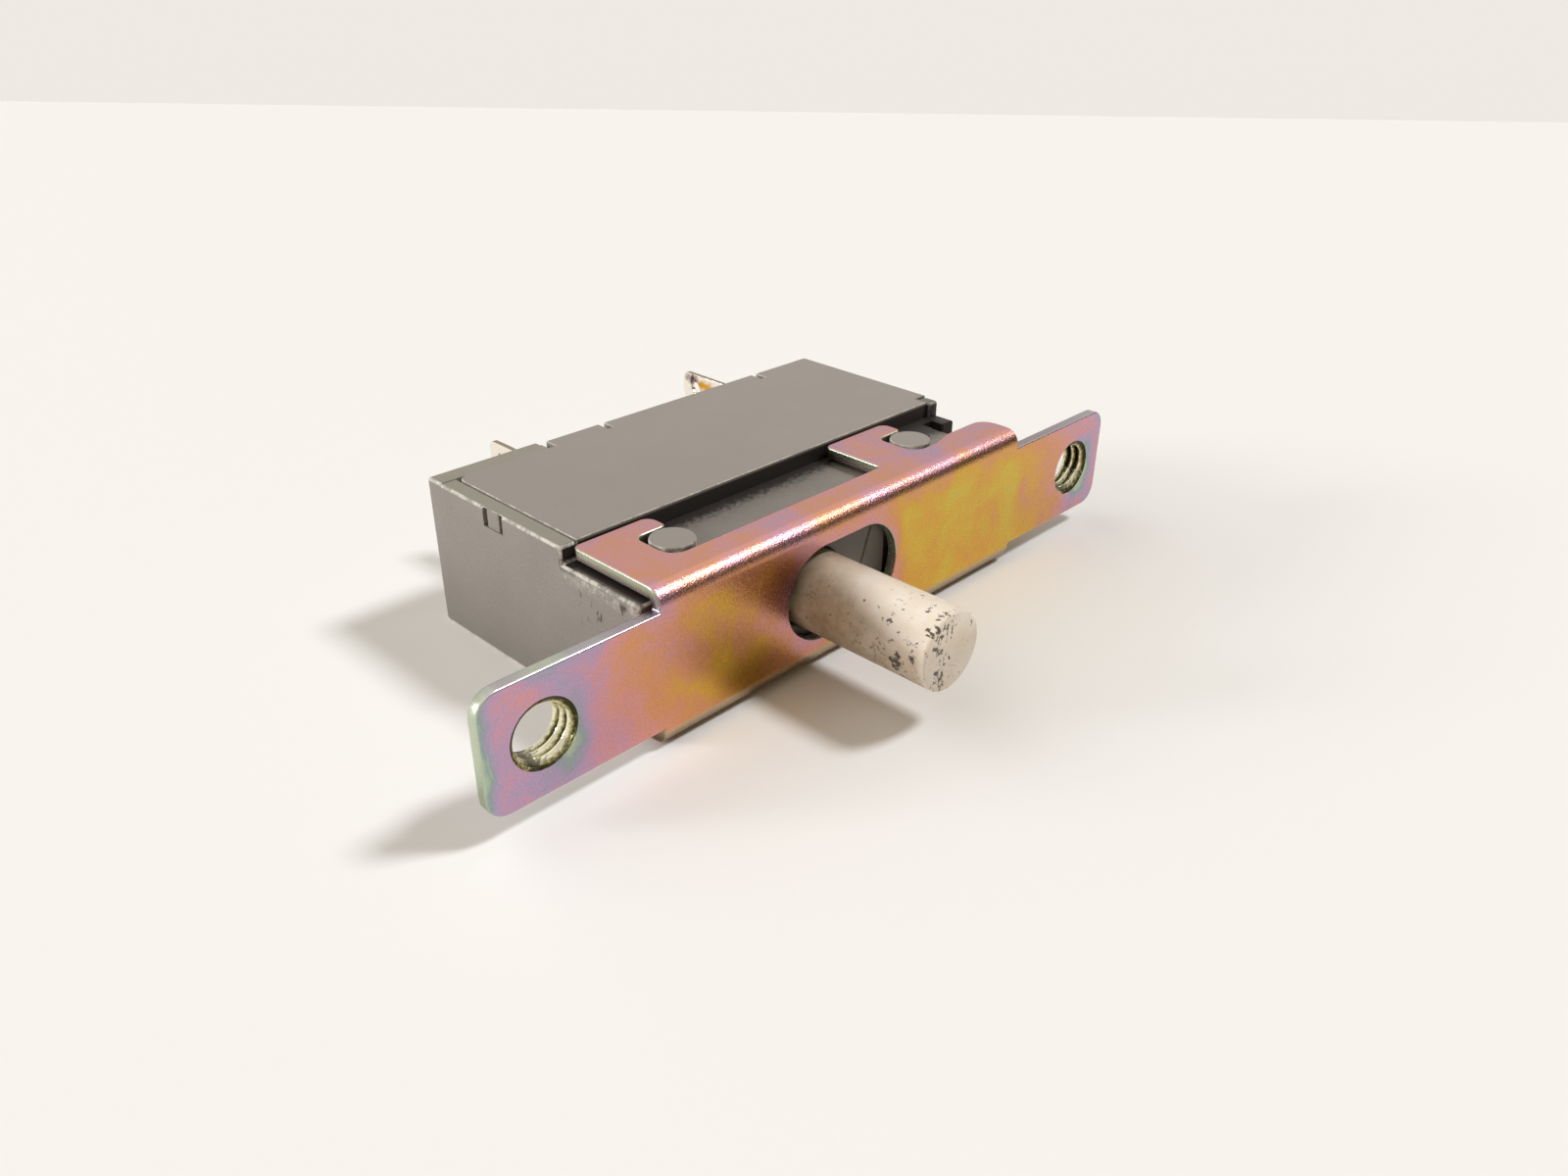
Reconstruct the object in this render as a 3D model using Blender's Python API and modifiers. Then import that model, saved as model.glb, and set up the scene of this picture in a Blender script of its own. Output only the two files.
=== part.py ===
"""A plunger-type limit switch on a sheet steel bracket, as an assembly of separate pieces.

Frame: X runs along the bracket, Y from the plunger's tip back to the terminals, Z is up.
The origin is at the middle of the base, so the switch stands on Z = 0.
Units are metres.  Every size that can be chosen is a named value just below.
"""
import math

import bmesh
import bpy
from mathutils import Matrix, Vector

MM = 0.001

# Clearances
CLAMP_GAP = 0.3 * MM            # between pieces that clamp, seat or rest on one another
SLOT_GAP = 0.15 * MM            # on each side of a blade in its slot, or a nub in its window
GUIDE_GAP = 0.25 * MM           # around the sliding plunger, its stem and the carriage sides
UNDER_GAP = 0.35 * MM           # under the sliding plunger and its carriage
PEG_GAP = 0.28 * MM             # in front of and behind a peg in its bayonet notch
PEG_PLAY = 0.45 * MM            # between a peg and the closed end of its notch
RIVET_GAP = 0.1 * MM            # around a contact rivet, and between clip and stem

# Bracket: one blank of plated sheet steel with two folded flanges
SHEET = 1.0 * MM
BRACKET_LENGTH = 70.0 * MM
EAR_HEIGHT = 9.4 * MM
EAR_CORNER = 1.7 * MM
HOLE_PITCH = 60.6 * MM
THREAD_BORE = 4.3 * MM          # bore left by an M5 thread
HOLE_RIM = 5.3 * MM             # mouth of the countersink on the front face
COLLAR_DIAMETER = 6.8 * MM      # metal drawn out behind each hole
COLLAR_REACH = 2.3 * MM         # from the front face to the end of the collar
BEND_INSIDE = 0.4 * MM
FLANGE_LEFT = -20.4 * MM
FLANGE_RIGHT = 20.9 * MM
FLANGE_CORNER = 1.5 * MM        # at the flange's free right-hand corner
FLANGE_RECESS = 0.2 * MM        # flange surface below the case surface
SLOT_LENGTH = 12.5 * MM
SLOT_HEIGHT = 7.86 * MM
SLOT_SHIFT = 0.1 * MM           # left end of the slot, off centre from the plunger
HOOK_REACH = 3.4 * MM           # finger length past the notch's closed end
HOOK_TIP = 0.95 * MM            # outer round of the hook's tip; the inner one is half as large
TIP_FIT = 1.6                   # hook height that both rounds need, in outer rounds
NOTCH_CORNER = 1.3 * MM
SECOND_TAB_WIDTH = 4.2 * MM     # from the tab's left edge to the notch's closed end

# Case and cover: grey moulded plastic
CASE_LEFT = -21.2 * MM
CASE_RIGHT = 21.6 * MM
CASE_HEIGHT = 13.0 * MM
CASE_DEPTH = 25.4 * MM          # from the nose's front to the rear face
NOSE_DEPTH = 8.6 * MM           # the thinner front part that the flanges clamp
WALL = 1.4 * MM
FLOOR = 1.5 * MM
COVER_THICKNESS = 1.6 * MM
COVER_INSET = 0.1 * MM          # cover's rear edge, in front of the case's rear face
EDGE_ROUND = 0.2 * MM
PEG_DIAMETER = 3.45 * MM
PEG_SETBACK = 4.2 * MM          # from the nose's front to the pegs' axes
LEFT_PEG_X = -14.5 * MM
PEG_PITCH = 26.95 * MM
PEG_RECESS = 0.05 * MM          # peg's end below the flange's surface
SNAP_SETBACK = 16.65 * MM       # from the nose's front to the middle of the snap window
SNAP_WIDTH = 2.1 * MM
SNAP_HEIGHT = 1.2 * MM
SNAP_DROP = 0.95 * MM           # from the case's top to the middle of the snap window
SNAP_BITE = 0.8 * MM            # how far the cover's nub reaches into the window
RIM_NOTCH_SETBACK = 5.4 * MM    # from the nose's front to the middle of the right rim's notch
RIM_NOTCH_WIDTH = 2.3 * MM
RIM_NOTCH_DEPTH = 2.0 * MM
FACE_GROOVE_X = 3.2 * MM
FACE_GROOVE_WIDTH = 0.3 * MM
FACE_GROOVE_DEPTH = 0.5 * MM
SPARE_SLOT_X = -4.3 * MM        # third terminal slot, left empty
RIB = 1.2 * MM                  # thickness of the ribs inside the case
ROOT = 0.5 * MM                 # how far a rib, post or peg runs into the wall it grows from

# Plunger: one turned and moulded piece with a carriage and a stem inside the case
PLUNGER_X = -4.2 * MM
PLUNGER_DIAMETER = 6.3 * MM
PLUNGER_REACH = 12.2 * MM       # tip in front of the bracket's face
PLUNGER_TIP_ROUND = 0.35 * MM
PLUNGER_TRAVEL = 5.0 * MM
CARRIAGE_WIDTH = 10.0 * MM
CARRIAGE_DEPTH = 3.0 * MM
STEM_DIAMETER = 2.4 * MM
POST_LENGTH = 2.5 * MM          # spring post on the rear wall
POST_DIAMETER = 2.2 * MM
STEM_STOP_GAP = 0.5 * MM        # left between stem and post at full travel
CLIP_DIAMETER = 4.6 * MM
CLIP_THICKNESS = 0.6 * MM

# Contact bridge, contacts and terminals
CONTACT_SPAN = 11.0 * MM        # between the two contact pairs
CONTACT_TRAVEL = 3.0 * MM       # bridge travel while the plunger makes its whole stroke
CONTACT_LEFT_OPEN = 0.3 * MM    # gap that stays between contacts at full travel
CONTACT_DIAMETER = 2.4 * MM
CONTACT_HEAD = 0.6 * MM
RIVET_SHANK = 1.2 * MM
RIVET_TAIL = 0.3 * MM
BRIDGE_SETBACK = 2.1 * MM       # bridge behind the step in the case
BRIDGE_HEIGHT = 4.6 * MM
BRIDGE_MARGIN = 1.5 * MM        # strip past the contacts' axes
STRIP = 0.5 * MM                # thickness of the bridge and terminal strips
BLADE_HEIGHT = 2.8 * MM
BLADE_HEADROOM = 0.4 * MM       # between the blades and the underside of the cover
BLADE_CORNER = 0.7 * MM
SOLDER_HOLE = 1.4 * MM
SOLDER_HOLE_SETBACK = 1.25 * MM  # from the blade's tip to the hole's middle
LEFT_TERMINAL_X = -10.45 * MM
RIGHT_TERMINAL_X = 14.4 * MM
LEFT_TERMINAL_REACH = 8.1 * MM
RIGHT_TERMINAL_REACH = 10.1 * MM
STRIP_TOP_DROP = 0.2 * MM       # terminal strip's top edge below the blade's
STRIP_FOOT = 2.0 * MM           # terminal strip's lower edge below the contacts' axes

# Springs
SPRING_WIRE = 0.45 * MM
RETURN_SPRING_COIL = 3.8 * MM   # mean diameter
RETURN_SPRING_TURNS = 9
CONTACT_SPRING_COIL = 3.7 * MM
CONTACT_SPRING_TURNS = 6
CLOSED_PITCH = 1.15             # rise of each end turn, in wire diameters

# Fineness of round shapes, and how far a cutter runs past what it cuts
ROUND_STEPS = 32
ARC_STEPS = 5
COIL_STEPS = 14
EDGE_STEPS = 2
SMOOTH_LIMIT = math.radians(35)
MERGE = 0.001 * MM
PAST = 1.0 * MM

# Places that follow from the sizes.  They are measured from the bracket's datum: the middle of
# its length, its front face and the case's mid-height.
case_half = CASE_HEIGHT / 2
nose_half = case_half - SHEET - CLAMP_GAP - FLANGE_RECESS
flange_inside = nose_half + CLAMP_GAP
flange_outside = flange_inside + SHEET
bend_outside = BEND_INSIDE + SHEET
nose_front = SHEET + CLAMP_GAP
step = nose_front + NOSE_DEPTH
case_rear = nose_front + CASE_DEPTH
cavity_front = nose_front + WALL
cavity_rear = case_rear - WALL
cavity_left = CASE_LEFT + WALL
cavity_right = CASE_RIGHT - WALL
cover_under = case_half - COVER_THICKNESS
ceiling = PLUNGER_DIAMETER / 2 + GUIDE_GAP
nose_floor = -PLUNGER_DIAMETER / 2 - UNDER_GAP
peg_y = nose_front + PEG_SETBACK
peg_end = flange_outside - PEG_RECESS
right_peg_x = LEFT_PEG_X + PEG_PITCH
notch_front = peg_y - PEG_DIAMETER / 2 - PEG_GAP
notch_rear = peg_y + PEG_DIAMETER / 2 + PEG_GAP
tab_rear = step - CLAMP_GAP
tip_round = min(HOOK_TIP, (tab_rear - notch_rear) / TIP_FIT)
snap_y = nose_front + SNAP_SETBACK
snap_z = case_half - SNAP_DROP

carriage_front = cavity_front + CLAMP_GAP
carriage_rear = carriage_front + CARRIAGE_DEPTH
carriage_half = PLUNGER_DIAMETER / 2
bridge_front = step + BRIDGE_SETBACK
bridge_rear = bridge_front + STRIP
clip_front = bridge_rear + CLAMP_GAP
clip_rear = clip_front + CLIP_THICKNESS
post_tip = cavity_rear - POST_LENGTH
stem_end = post_tip - PLUNGER_TRAVEL - STEM_STOP_GAP
moving_face = bridge_rear + RIVET_GAP + CONTACT_HEAD
fixed_face = moving_face + CONTACT_TRAVEL + CONTACT_LEFT_OPEN
strip_front = fixed_face + CONTACT_HEAD + RIVET_GAP
strip_rear = strip_front + STRIP
blade_top = cover_under - BLADE_HEADROOM
blade_middle = blade_top - BLADE_HEIGHT / 2
blade_foot = blade_top - BLADE_HEIGHT
slot_half = STRIP / 2 + SLOT_GAP
left_contact_x = PLUNGER_X - CONTACT_SPAN / 2
right_contact_x = PLUNGER_X + CONTACT_SPAN / 2

longest_terminal = max(LEFT_TERMINAL_REACH, RIGHT_TERMINAL_REACH)
datum_y = (PLUNGER_REACH - case_rear - longest_terminal) / 2
datum_z = max(case_half, flange_outside)

ALONG_X = (math.pi / 2, 0.0, math.pi / 2)       # turns an outline drawn in Y and Z to face X
ALONG_Y = (math.pi / 2, 0.0, 0.0)               # turns an outline drawn in X and Z to face -Y
ALONG_Z = (0.0, 0.0, 0.0)
AXIS_BACK = (-math.pi / 2, 0.0, 0.0)            # turns a piece made on local Z to point along +Y

for old_object in list(bpy.data.objects):
    bpy.data.objects.remove(old_object, do_unlink=True)

parts = bpy.data.collections.new("limit_switch")
cutters = bpy.data.collections.new("limit_switch_cutters")
bpy.context.scene.collection.children.link(parts)
bpy.context.scene.collection.children.link(cutters)

datum = bpy.data.objects.new("bracket_datum", None)
datum.location = (0.0, datum_y, datum_z)
parts.objects.link(datum)


# ---------------------------------------------------------------- making shapes
def new_material(name, colour, roughness, metallic):
    """A plain Principled material."""
    material = bpy.data.materials.new(name)
    material.use_nodes = True
    shader = material.node_tree.nodes["Principled BSDF"]
    shader.inputs["Base Color"].default_value = (*colour, 1.0)
    shader.inputs["Roughness"].default_value = roughness
    shader.inputs["Metallic"].default_value = metallic
    return material


def add_object(name, data, collection, location=(0.0, 0.0, 0.0), turn=ALONG_Z):
    """Put data in the scene, placed from the bracket's datum."""
    thing = bpy.data.objects.new(name, data)
    thing.location = location
    thing.rotation_euler = turn
    thing.parent = datum
    collection.objects.link(thing)
    return thing


def smooth(thing):
    """Shade round faces smooth and keep the corners sharp."""
    thing.data.shade_smooth()
    thing.data.set_sharp_from_angle(angle=SMOOTH_LIMIT)


def box(name, low, high, collection=cutters):
    """A box between two corners."""
    low = Vector(low)
    high = Vector(high)
    size = high - low
    mesh = bpy.data.meshes.new(name)
    shape = bmesh.new()
    bmesh.ops.create_cube(shape, size=1.0, matrix=Matrix.Diagonal((*size, 1.0)))
    shape.to_mesh(mesh)
    shape.free()
    return add_object(name, mesh, collection, (low + high) / 2)


def rod(name, radius, low, high, turn, collection=cutters):
    """A cylinder from low to high along its own Z, which turn points the right way."""
    low = Vector(low)
    high = Vector(high)
    mesh = bpy.data.meshes.new(name)
    shape = bmesh.new()
    bmesh.ops.create_cone(shape, cap_ends=True, segments=ROUND_STEPS, radius1=radius,
                          radius2=radius, depth=(high - low).length)
    shape.to_mesh(mesh)
    shape.free()
    return add_object(name, mesh, collection, (low + high) / 2, turn)


def turned(name, profile, location, turn, collection=cutters):
    """A turned shape.  The profile of (radius, height) runs from the top down its outer side."""
    mesh = bpy.data.meshes.new(name)
    points = [(radius, 0.0, height) for radius, height in profile]
    edges = [(index, index + 1) for index in range(len(points) - 1)]
    mesh.from_pydata(points, edges, [])
    thing = add_object(name, mesh, collection, location, turn)
    screw = thing.modifiers.new("turn", "SCREW")
    screw.steps = ROUND_STEPS
    screw.render_steps = ROUND_STEPS
    screw.use_merge_vertices = True
    screw.merge_threshold = MERGE
    screw.use_smooth_shade = False
    return thing


def turned_ring(name, outer, inner, top, foot, location, turn, collection=cutters):
    """A ring with a square section."""
    profile = [(inner, top), (outer, top), (outer, foot), (inner, foot), (inner, top)]
    return turned(name, profile, location, turn, collection)


def rounded(corners):
    """Points of an outline whose corners are (across, up, radius)."""
    points = []
    count = len(corners)
    for index, (across, up, radius) in enumerate(corners):
        here = Vector((across, up))
        if radius == 0:
            points.append(here)
            continue
        back = (Vector(corners[index - 1][:2]) - here).normalized()
        ahead = (Vector(corners[(index + 1) % count][:2]) - here).normalized()
        half_angle = back.angle(ahead) / 2
        start = here + back * radius / math.tan(half_angle)
        end = here + ahead * radius / math.tan(half_angle)
        centre = here + (back + ahead).normalized() * radius / math.sin(half_angle)
        first = math.atan2(start.y - centre.y, start.x - centre.x)
        last = math.atan2(end.y - centre.y, end.x - centre.x)
        sweep = (last - first + math.pi) % (2 * math.pi) - math.pi
        for tick in range(ARC_STEPS + 1):
            angle = first + sweep * tick / ARC_STEPS
            points.append(centre + radius * Vector((math.cos(angle), math.sin(angle))))
    return points


def prism(name, points, middle, depth, turn, collection=cutters):
    """A flat outline given a depth.  It is a 2D curve first, then a welded mesh."""
    curve = bpy.data.curves.new(name + "_outline", "CURVE")
    curve.dimensions = "2D"
    curve.fill_mode = "BOTH"
    curve.extrude = depth / 2
    spline = curve.splines.new("POLY")
    spline.points.add(len(points) - 1)
    spline.use_cyclic_u = True
    for spot, (across, up) in zip(spline.points, points):
        spot.co = (across, up, 0.0, 1.0)
    drawn = add_object(name + "_outline", curve, collection)
    bpy.context.view_layer.update()
    depsgraph = bpy.context.evaluated_depsgraph_get()
    mesh = bpy.data.meshes.new_from_object(drawn.evaluated_get(depsgraph))
    bpy.data.objects.remove(drawn)
    shape = bmesh.new()
    shape.from_mesh(mesh)
    bmesh.ops.remove_doubles(shape, verts=shape.verts, dist=MERGE)
    bmesh.ops.recalc_face_normals(shape, faces=shape.faces)
    shape.to_mesh(mesh)
    shape.free()
    mesh.name = name
    return add_object(name, mesh, collection, middle, turn)


def across_x(name, corners, low, high, collection=cutters):
    """A prism along X from an outline in Y and Z."""
    return prism(name, rounded(corners), ((low + high) / 2, 0.0, 0.0), high - low, ALONG_X, collection)


def across_y(name, corners, low, high, collection=cutters):
    """A prism along Y from an outline in X and Z."""
    return prism(name, rounded(corners), (0.0, (low + high) / 2, 0.0), high - low, ALONG_Y, collection)


def across_z(name, corners, low, high, collection=cutters):
    """A prism along Z from an outline in X and Y."""
    return prism(name, rounded(corners), (0.0, 0.0, (low + high) / 2), high - low, ALONG_Z, collection)


def combine(target, tool, operation):
    """Join, cut or trim the target with a tool that stays hidden."""
    tool.hide_render = True
    tool.display_type = "WIRE"
    modifier = target.modifiers.new(tool.name, "BOOLEAN")
    modifier.operation = operation
    modifier.solver = "EXACT"
    modifier.object = tool


def join(target, *tools):
    for tool in tools:
        combine(target, tool, "UNION")


def cut(target, *tools):
    for tool in tools:
        combine(target, tool, "DIFFERENCE")


def trim(target, *tools):
    for tool in tools:
        combine(target, tool, "INTERSECT")


def finish(thing, material):
    """Give a piece its material."""
    thing.data.materials.clear()
    thing.data.materials.append(material)


# ---------------------------------------------------------------- materials
plated_steel = new_material("zinc_plated_steel", (0.72, 0.50, 0.33), 0.32, 0.9)
grey_plastic = new_material("grey_moulded_plastic", (0.33, 0.31, 0.28), 0.55, 0.0)
cover_plastic = new_material("grey_cover_plastic", (0.35, 0.33, 0.30), 0.55, 0.0)
white_plastic = new_material("white_acetal", (0.80, 0.74, 0.66), 0.38, 0.0)
spring_steel = new_material("spring_steel", (0.55, 0.56, 0.58), 0.3, 1.0)
brass = new_material("brass_strip", (0.78, 0.60, 0.30), 0.3, 1.0)
tinned_brass = new_material("tinned_brass", (0.75, 0.72, 0.66), 0.28, 1.0)
silver = new_material("silver_contact", (0.85, 0.84, 0.82), 0.25, 1.0)


# ---------------------------------------------------------------- bracket
def tapped_hole(bracket, side):
    """The drawn collar behind a hole, and the hole with its countersink."""
    place = (side * HOLE_PITCH / 2, 0.0, 0.0)
    bore = THREAD_BORE / 2
    rim = HOLE_RIM / 2
    label = "left" if side < 0 else "right"
    collar = rod(label + "_collar", COLLAR_DIAMETER / 2, (place[0], SHEET / 2, 0.0),
                 (place[0], COLLAR_REACH, 0.0), AXIS_BACK)
    profile = [(0.0, COLLAR_REACH + PAST), (bore, COLLAR_REACH + PAST), (bore, rim - bore),
               (rim + PAST, -PAST), (0.0, -PAST)]
    hole = turned(label + "_hole", profile, place, AXIS_BACK)
    join(bracket, collar)
    cut(bracket, hole)


def flange_plan():
    """Outline in X and Y that leaves the strip and the two hooked tabs of each flange."""
    far = BRACKET_LENGTH
    first_wall = LEFT_PEG_X - PEG_DIAMETER / 2 - PEG_PLAY
    second_wall = right_peg_x - PEG_DIAMETER / 2 - PEG_PLAY
    second_left = second_wall - SECOND_TAB_WIDTH
    corners = [(-far, -PAST, 0.0), (far, -PAST, 0.0), (far, notch_front, 0.0)]
    for wall, left in ((second_wall, second_left), (first_wall, None)):
        tip = wall + HOOK_REACH
        corners += [(wall, notch_front, NOTCH_CORNER), (wall, notch_rear, EDGE_ROUND)]
        corners += [(tip, notch_rear, tip_round / 2), (tip, tab_rear, tip_round)]
        if left is not None:
            corners += [(left, tab_rear, EDGE_ROUND), (left, notch_front, EDGE_ROUND)]
    corners += [(-far, tab_rear, 0.0)]
    return corners


def make_bracket():
    half_length = BRACKET_LENGTH / 2
    ear = EAR_HEIGHT / 2
    tall = flange_outside + PAST
    deep = tab_rear + PAST
    section = [(deep, flange_outside, 0.0), (0.0, flange_outside, bend_outside),
               (0.0, -flange_outside, bend_outside), (deep, -flange_outside, 0.0),
               (deep, -flange_inside, 0.0), (SHEET, -flange_inside, BEND_INSIDE),
               (SHEET, flange_inside, BEND_INSIDE), (deep, flange_inside, 0.0)]
    bracket = across_x("mounting_bracket", section, -half_length - PAST, half_length + PAST, parts)
    front_view = [(-half_length, -ear, EAR_CORNER), (-half_length, ear, EAR_CORNER),
                  (FLANGE_LEFT, ear, 0.0), (FLANGE_LEFT, tall, 0.0),
                  (FLANGE_RIGHT, tall, 0.0), (FLANGE_RIGHT, ear, 0.0),
                  (half_length, ear, EAR_CORNER), (half_length, -ear, EAR_CORNER),
                  (FLANGE_RIGHT, -ear, 0.0), (FLANGE_RIGHT, -tall, 0.0),
                  (FLANGE_LEFT, -tall, 0.0), (FLANGE_LEFT, -ear, 0.0)]
    trim(bracket, across_y("bracket_front_view", front_view, -PAST, deep + PAST))
    trim(bracket, across_z("flange_plan", flange_plan(), -tall, tall))
    corner = [(FLANGE_RIGHT - FLANGE_CORNER, notch_front, 0.0),
              (FLANGE_RIGHT, notch_front, FLANGE_CORNER),
              (FLANGE_RIGHT, notch_front - FLANGE_CORNER, 0.0),
              (FLANGE_RIGHT + PAST, notch_front - FLANGE_CORNER, 0.0),
              (FLANGE_RIGHT + PAST, notch_front + PAST, 0.0),
              (FLANGE_RIGHT - FLANGE_CORNER, notch_front + PAST, 0.0)]
    cut(bracket, across_z("flange_corner", corner, -tall, tall))
    slot_end = SLOT_HEIGHT / 2
    slot_left = PLUNGER_X + SLOT_SHIFT
    slot_right = slot_left + SLOT_LENGTH - SLOT_HEIGHT
    slot = []
    for centre, start in ((slot_left, math.pi / 2), (slot_right, -math.pi / 2)):
        for tick in range(ROUND_STEPS // 2 + 1):
            angle = start + math.pi * tick / (ROUND_STEPS // 2)
            slot.append((centre + slot_end * math.cos(angle), slot_end * math.sin(angle)))
    cut(bracket, prism("plunger_slot", slot, (0.0, SHEET / 2, 0.0), SHEET + 2 * PAST, ALONG_Y))
    tapped_hole(bracket, -1)
    tapped_hole(bracket, 1)
    finish(bracket, plated_steel)


# ---------------------------------------------------------------- case
def terminal_slot_cutter(name, x):
    return box(name, (x - slot_half, cavity_rear - PAST, blade_foot - SLOT_GAP),
               (x + slot_half, case_rear + PAST, case_half + PAST))


def cut_case_openings(case):
    """Everything that is cut out of the case's walls."""
    seat = cover_under - CLAMP_GAP
    seat_plan = [(LEFT_TERMINAL_X, cavity_rear - PAST, 0.0),
                 (cavity_right - PAST, cavity_rear - PAST, 0.0),
                 (cavity_right - PAST, step - CLAMP_GAP, 0.0),
                 (CASE_RIGHT + PAST, step - CLAMP_GAP, 0.0),
                 (CASE_RIGHT + PAST, case_rear + PAST, 0.0),
                 (LEFT_TERMINAL_X, case_rear + PAST, 0.0)]
    cut(case, across_z("cover_seat", seat_plan, seat, case_half + PAST))
    cut(case, terminal_slot_cutter("left_terminal_slot", LEFT_TERMINAL_X))
    cut(case, terminal_slot_cutter("spare_terminal_slot", SPARE_SLOT_X))
    cut(case, terminal_slot_cutter("right_terminal_slot", RIGHT_TERMINAL_X))
    cut(case, box("snap_window",
                  (CASE_LEFT - PAST, snap_y - SNAP_WIDTH / 2, snap_z - SNAP_HEIGHT / 2),
                  (cavity_left + PAST, snap_y + SNAP_WIDTH / 2, snap_z + SNAP_HEIGHT / 2)))
    notch_y = nose_front + RIM_NOTCH_SETBACK
    cut(case, box("rim_notch",
                  (cavity_right - PAST, notch_y - RIM_NOTCH_WIDTH / 2, nose_half - RIM_NOTCH_DEPTH),
                  (CASE_RIGHT + PAST, notch_y + RIM_NOTCH_WIDTH / 2, nose_half + PAST)))
    cut(case, rod("plunger_opening", PLUNGER_DIAMETER / 2 + GUIDE_GAP,
                  (PLUNGER_X, nose_front - PAST, 0.0), (PLUNGER_X, cavity_front + PAST, 0.0),
                  AXIS_BACK))
    cut(case, box("face_groove",
                  (FACE_GROOVE_X - FACE_GROOVE_WIDTH / 2, nose_front - PAST, -SLOT_HEIGHT / 2),
                  (FACE_GROOVE_X + FACE_GROOVE_WIDTH / 2, nose_front + FACE_GROOVE_DEPTH,
                   SLOT_HEIGHT / 2)))


def carriage_rib(name, side):
    """A rib in the nose that guides one side of the plunger's carriage."""
    near = PLUNGER_X + side * (CARRIAGE_WIDTH / 2 + GUIDE_GAP)
    far = near + side * RIB
    return box(name, (min(near, far), cavity_front - ROOT, nose_floor - ROOT),
               (max(near, far), step + CLAMP_GAP, ceiling - CLAMP_GAP))


def strip_post(name, x):
    """A post with a groove that holds the lower edge of a terminal strip."""
    top = -CONTACT_DIAMETER / 2 - CLAMP_GAP
    near = strip_front - SLOT_GAP
    far = strip_rear + SLOT_GAP
    outline = [(near - RIB, -case_half + FLOOR - ROOT, 0.0), (far + RIB, -case_half + FLOOR - ROOT, 0.0),
               (far + RIB, top, 0.0), (far, top, 0.0), (far, -STRIP_FOOT - CLAMP_GAP, 0.0),
               (near, -STRIP_FOOT - CLAMP_GAP, 0.0), (near, top, 0.0), (near - RIB, top, 0.0)]
    return across_x(name, outline, x - RIB / 2, x + RIB / 2)


def peg(name, x, end):
    """A peg that stands on the nose and takes a bayonet notch."""
    start = (nose_half - ROOT) * (1 if end > 0 else -1)
    return rod(name, PEG_DIAMETER / 2, (x, peg_y, min(start, end)), (x, peg_y, max(start, end)), ALONG_Z)


def make_case():
    outside = [(nose_front, -nose_half, 0.0), (step, -nose_half, 0.0), (step, -case_half, 0.0),
               (case_rear, -case_half, 0.0), (case_rear, case_half, 0.0), (step, case_half, 0.0),
               (step, nose_half, 0.0), (nose_front, nose_half, 0.0)]
    inside = [(cavity_front, nose_floor, 0.0), (step + WALL, nose_floor, 0.0),
              (step + WALL, -case_half + FLOOR, 0.0), (cavity_rear, -case_half + FLOOR, 0.0),
              (cavity_rear, case_half + PAST, 0.0), (cavity_front, case_half + PAST, 0.0)]
    case = across_x("switch_case", outside, CASE_LEFT, CASE_RIGHT, parts)
    edges = case.modifiers.new("edges", "BEVEL")
    edges.width = EDGE_ROUND
    edges.segments = EDGE_STEPS
    edges.limit_method = "ANGLE"
    case.modifiers.new("flat_faces", "TRIANGULATE")
    cut(case, across_x("case_cavity", inside, cavity_left, cavity_right))
    cut_case_openings(case)
    join(case, carriage_rib("left_carriage_rib", -1), carriage_rib("right_carriage_rib", 1))
    join(case, strip_post("left_strip_post", left_contact_x))
    join(case, strip_post("middle_strip_post", right_contact_x))
    join(case, strip_post("right_strip_post", RIGHT_TERMINAL_X - PAST))
    join(case, rod("spring_post", POST_DIAMETER / 2, (PLUNGER_X, post_tip, 0.0),
                   (PLUNGER_X, cavity_rear + ROOT, 0.0), AXIS_BACK))
    join(case, peg("left_lower_peg", LEFT_PEG_X, -peg_end), peg("right_lower_peg", right_peg_x, -peg_end))
    finish(case, grey_plastic)


# ---------------------------------------------------------------- cover
def make_cover():
    left = cavity_left + CLAMP_GAP
    rear = case_rear - COVER_INSET
    tongue = LEFT_TERMINAL_X + slot_half
    inner_rear = cavity_rear - CLAMP_GAP
    plan = [(left, step, EDGE_ROUND), (CASE_RIGHT, step, EDGE_ROUND), (CASE_RIGHT, rear, EDGE_ROUND)]
    for x in (RIGHT_TERMINAL_X, SPARE_SLOT_X):
        plan += [(x + slot_half, rear, 0.0), (x + slot_half, rear - WALL, 0.0),
                 (x - slot_half, rear - WALL, 0.0), (x - slot_half, rear, 0.0)]
    plan += [(tongue, rear, EDGE_ROUND), (tongue, inner_rear, 0.0), (left, inner_rear, EDGE_ROUND)]
    cover = across_z("case_cover", plan, cover_under, case_half, parts)
    tie_front = step + CLAMP_GAP
    tie_top = case_half - COVER_THICKNESS / 2
    back = step + COVER_THICKNESS
    nose = [(cavity_front + CLAMP_GAP, ceiling, 0.0), (back, ceiling, 0.0), (back, tie_top, 0.0),
            (tie_front, tie_top, 0.0), (tie_front, nose_half, 0.0),
            (cavity_front + CLAMP_GAP, nose_half, 0.0)]
    join(cover, across_x("cover_nose", nose, left + SLOT_GAP, cavity_right - CLAMP_GAP))
    nub_low = (cavity_left - SNAP_BITE, snap_y - SNAP_WIDTH / 2 + SLOT_GAP,
               snap_z - SNAP_HEIGHT / 2 + SLOT_GAP)
    nub_high = (left + ROOT, snap_y + SNAP_WIDTH / 2 - SLOT_GAP, snap_z + SNAP_HEIGHT / 2 - SLOT_GAP)
    join(cover, box("snap_nub", nub_low, nub_high))
    join(cover, peg("left_upper_peg", LEFT_PEG_X, peg_end), peg("right_upper_peg", right_peg_x, peg_end))
    finish(cover, cover_plastic)


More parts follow.
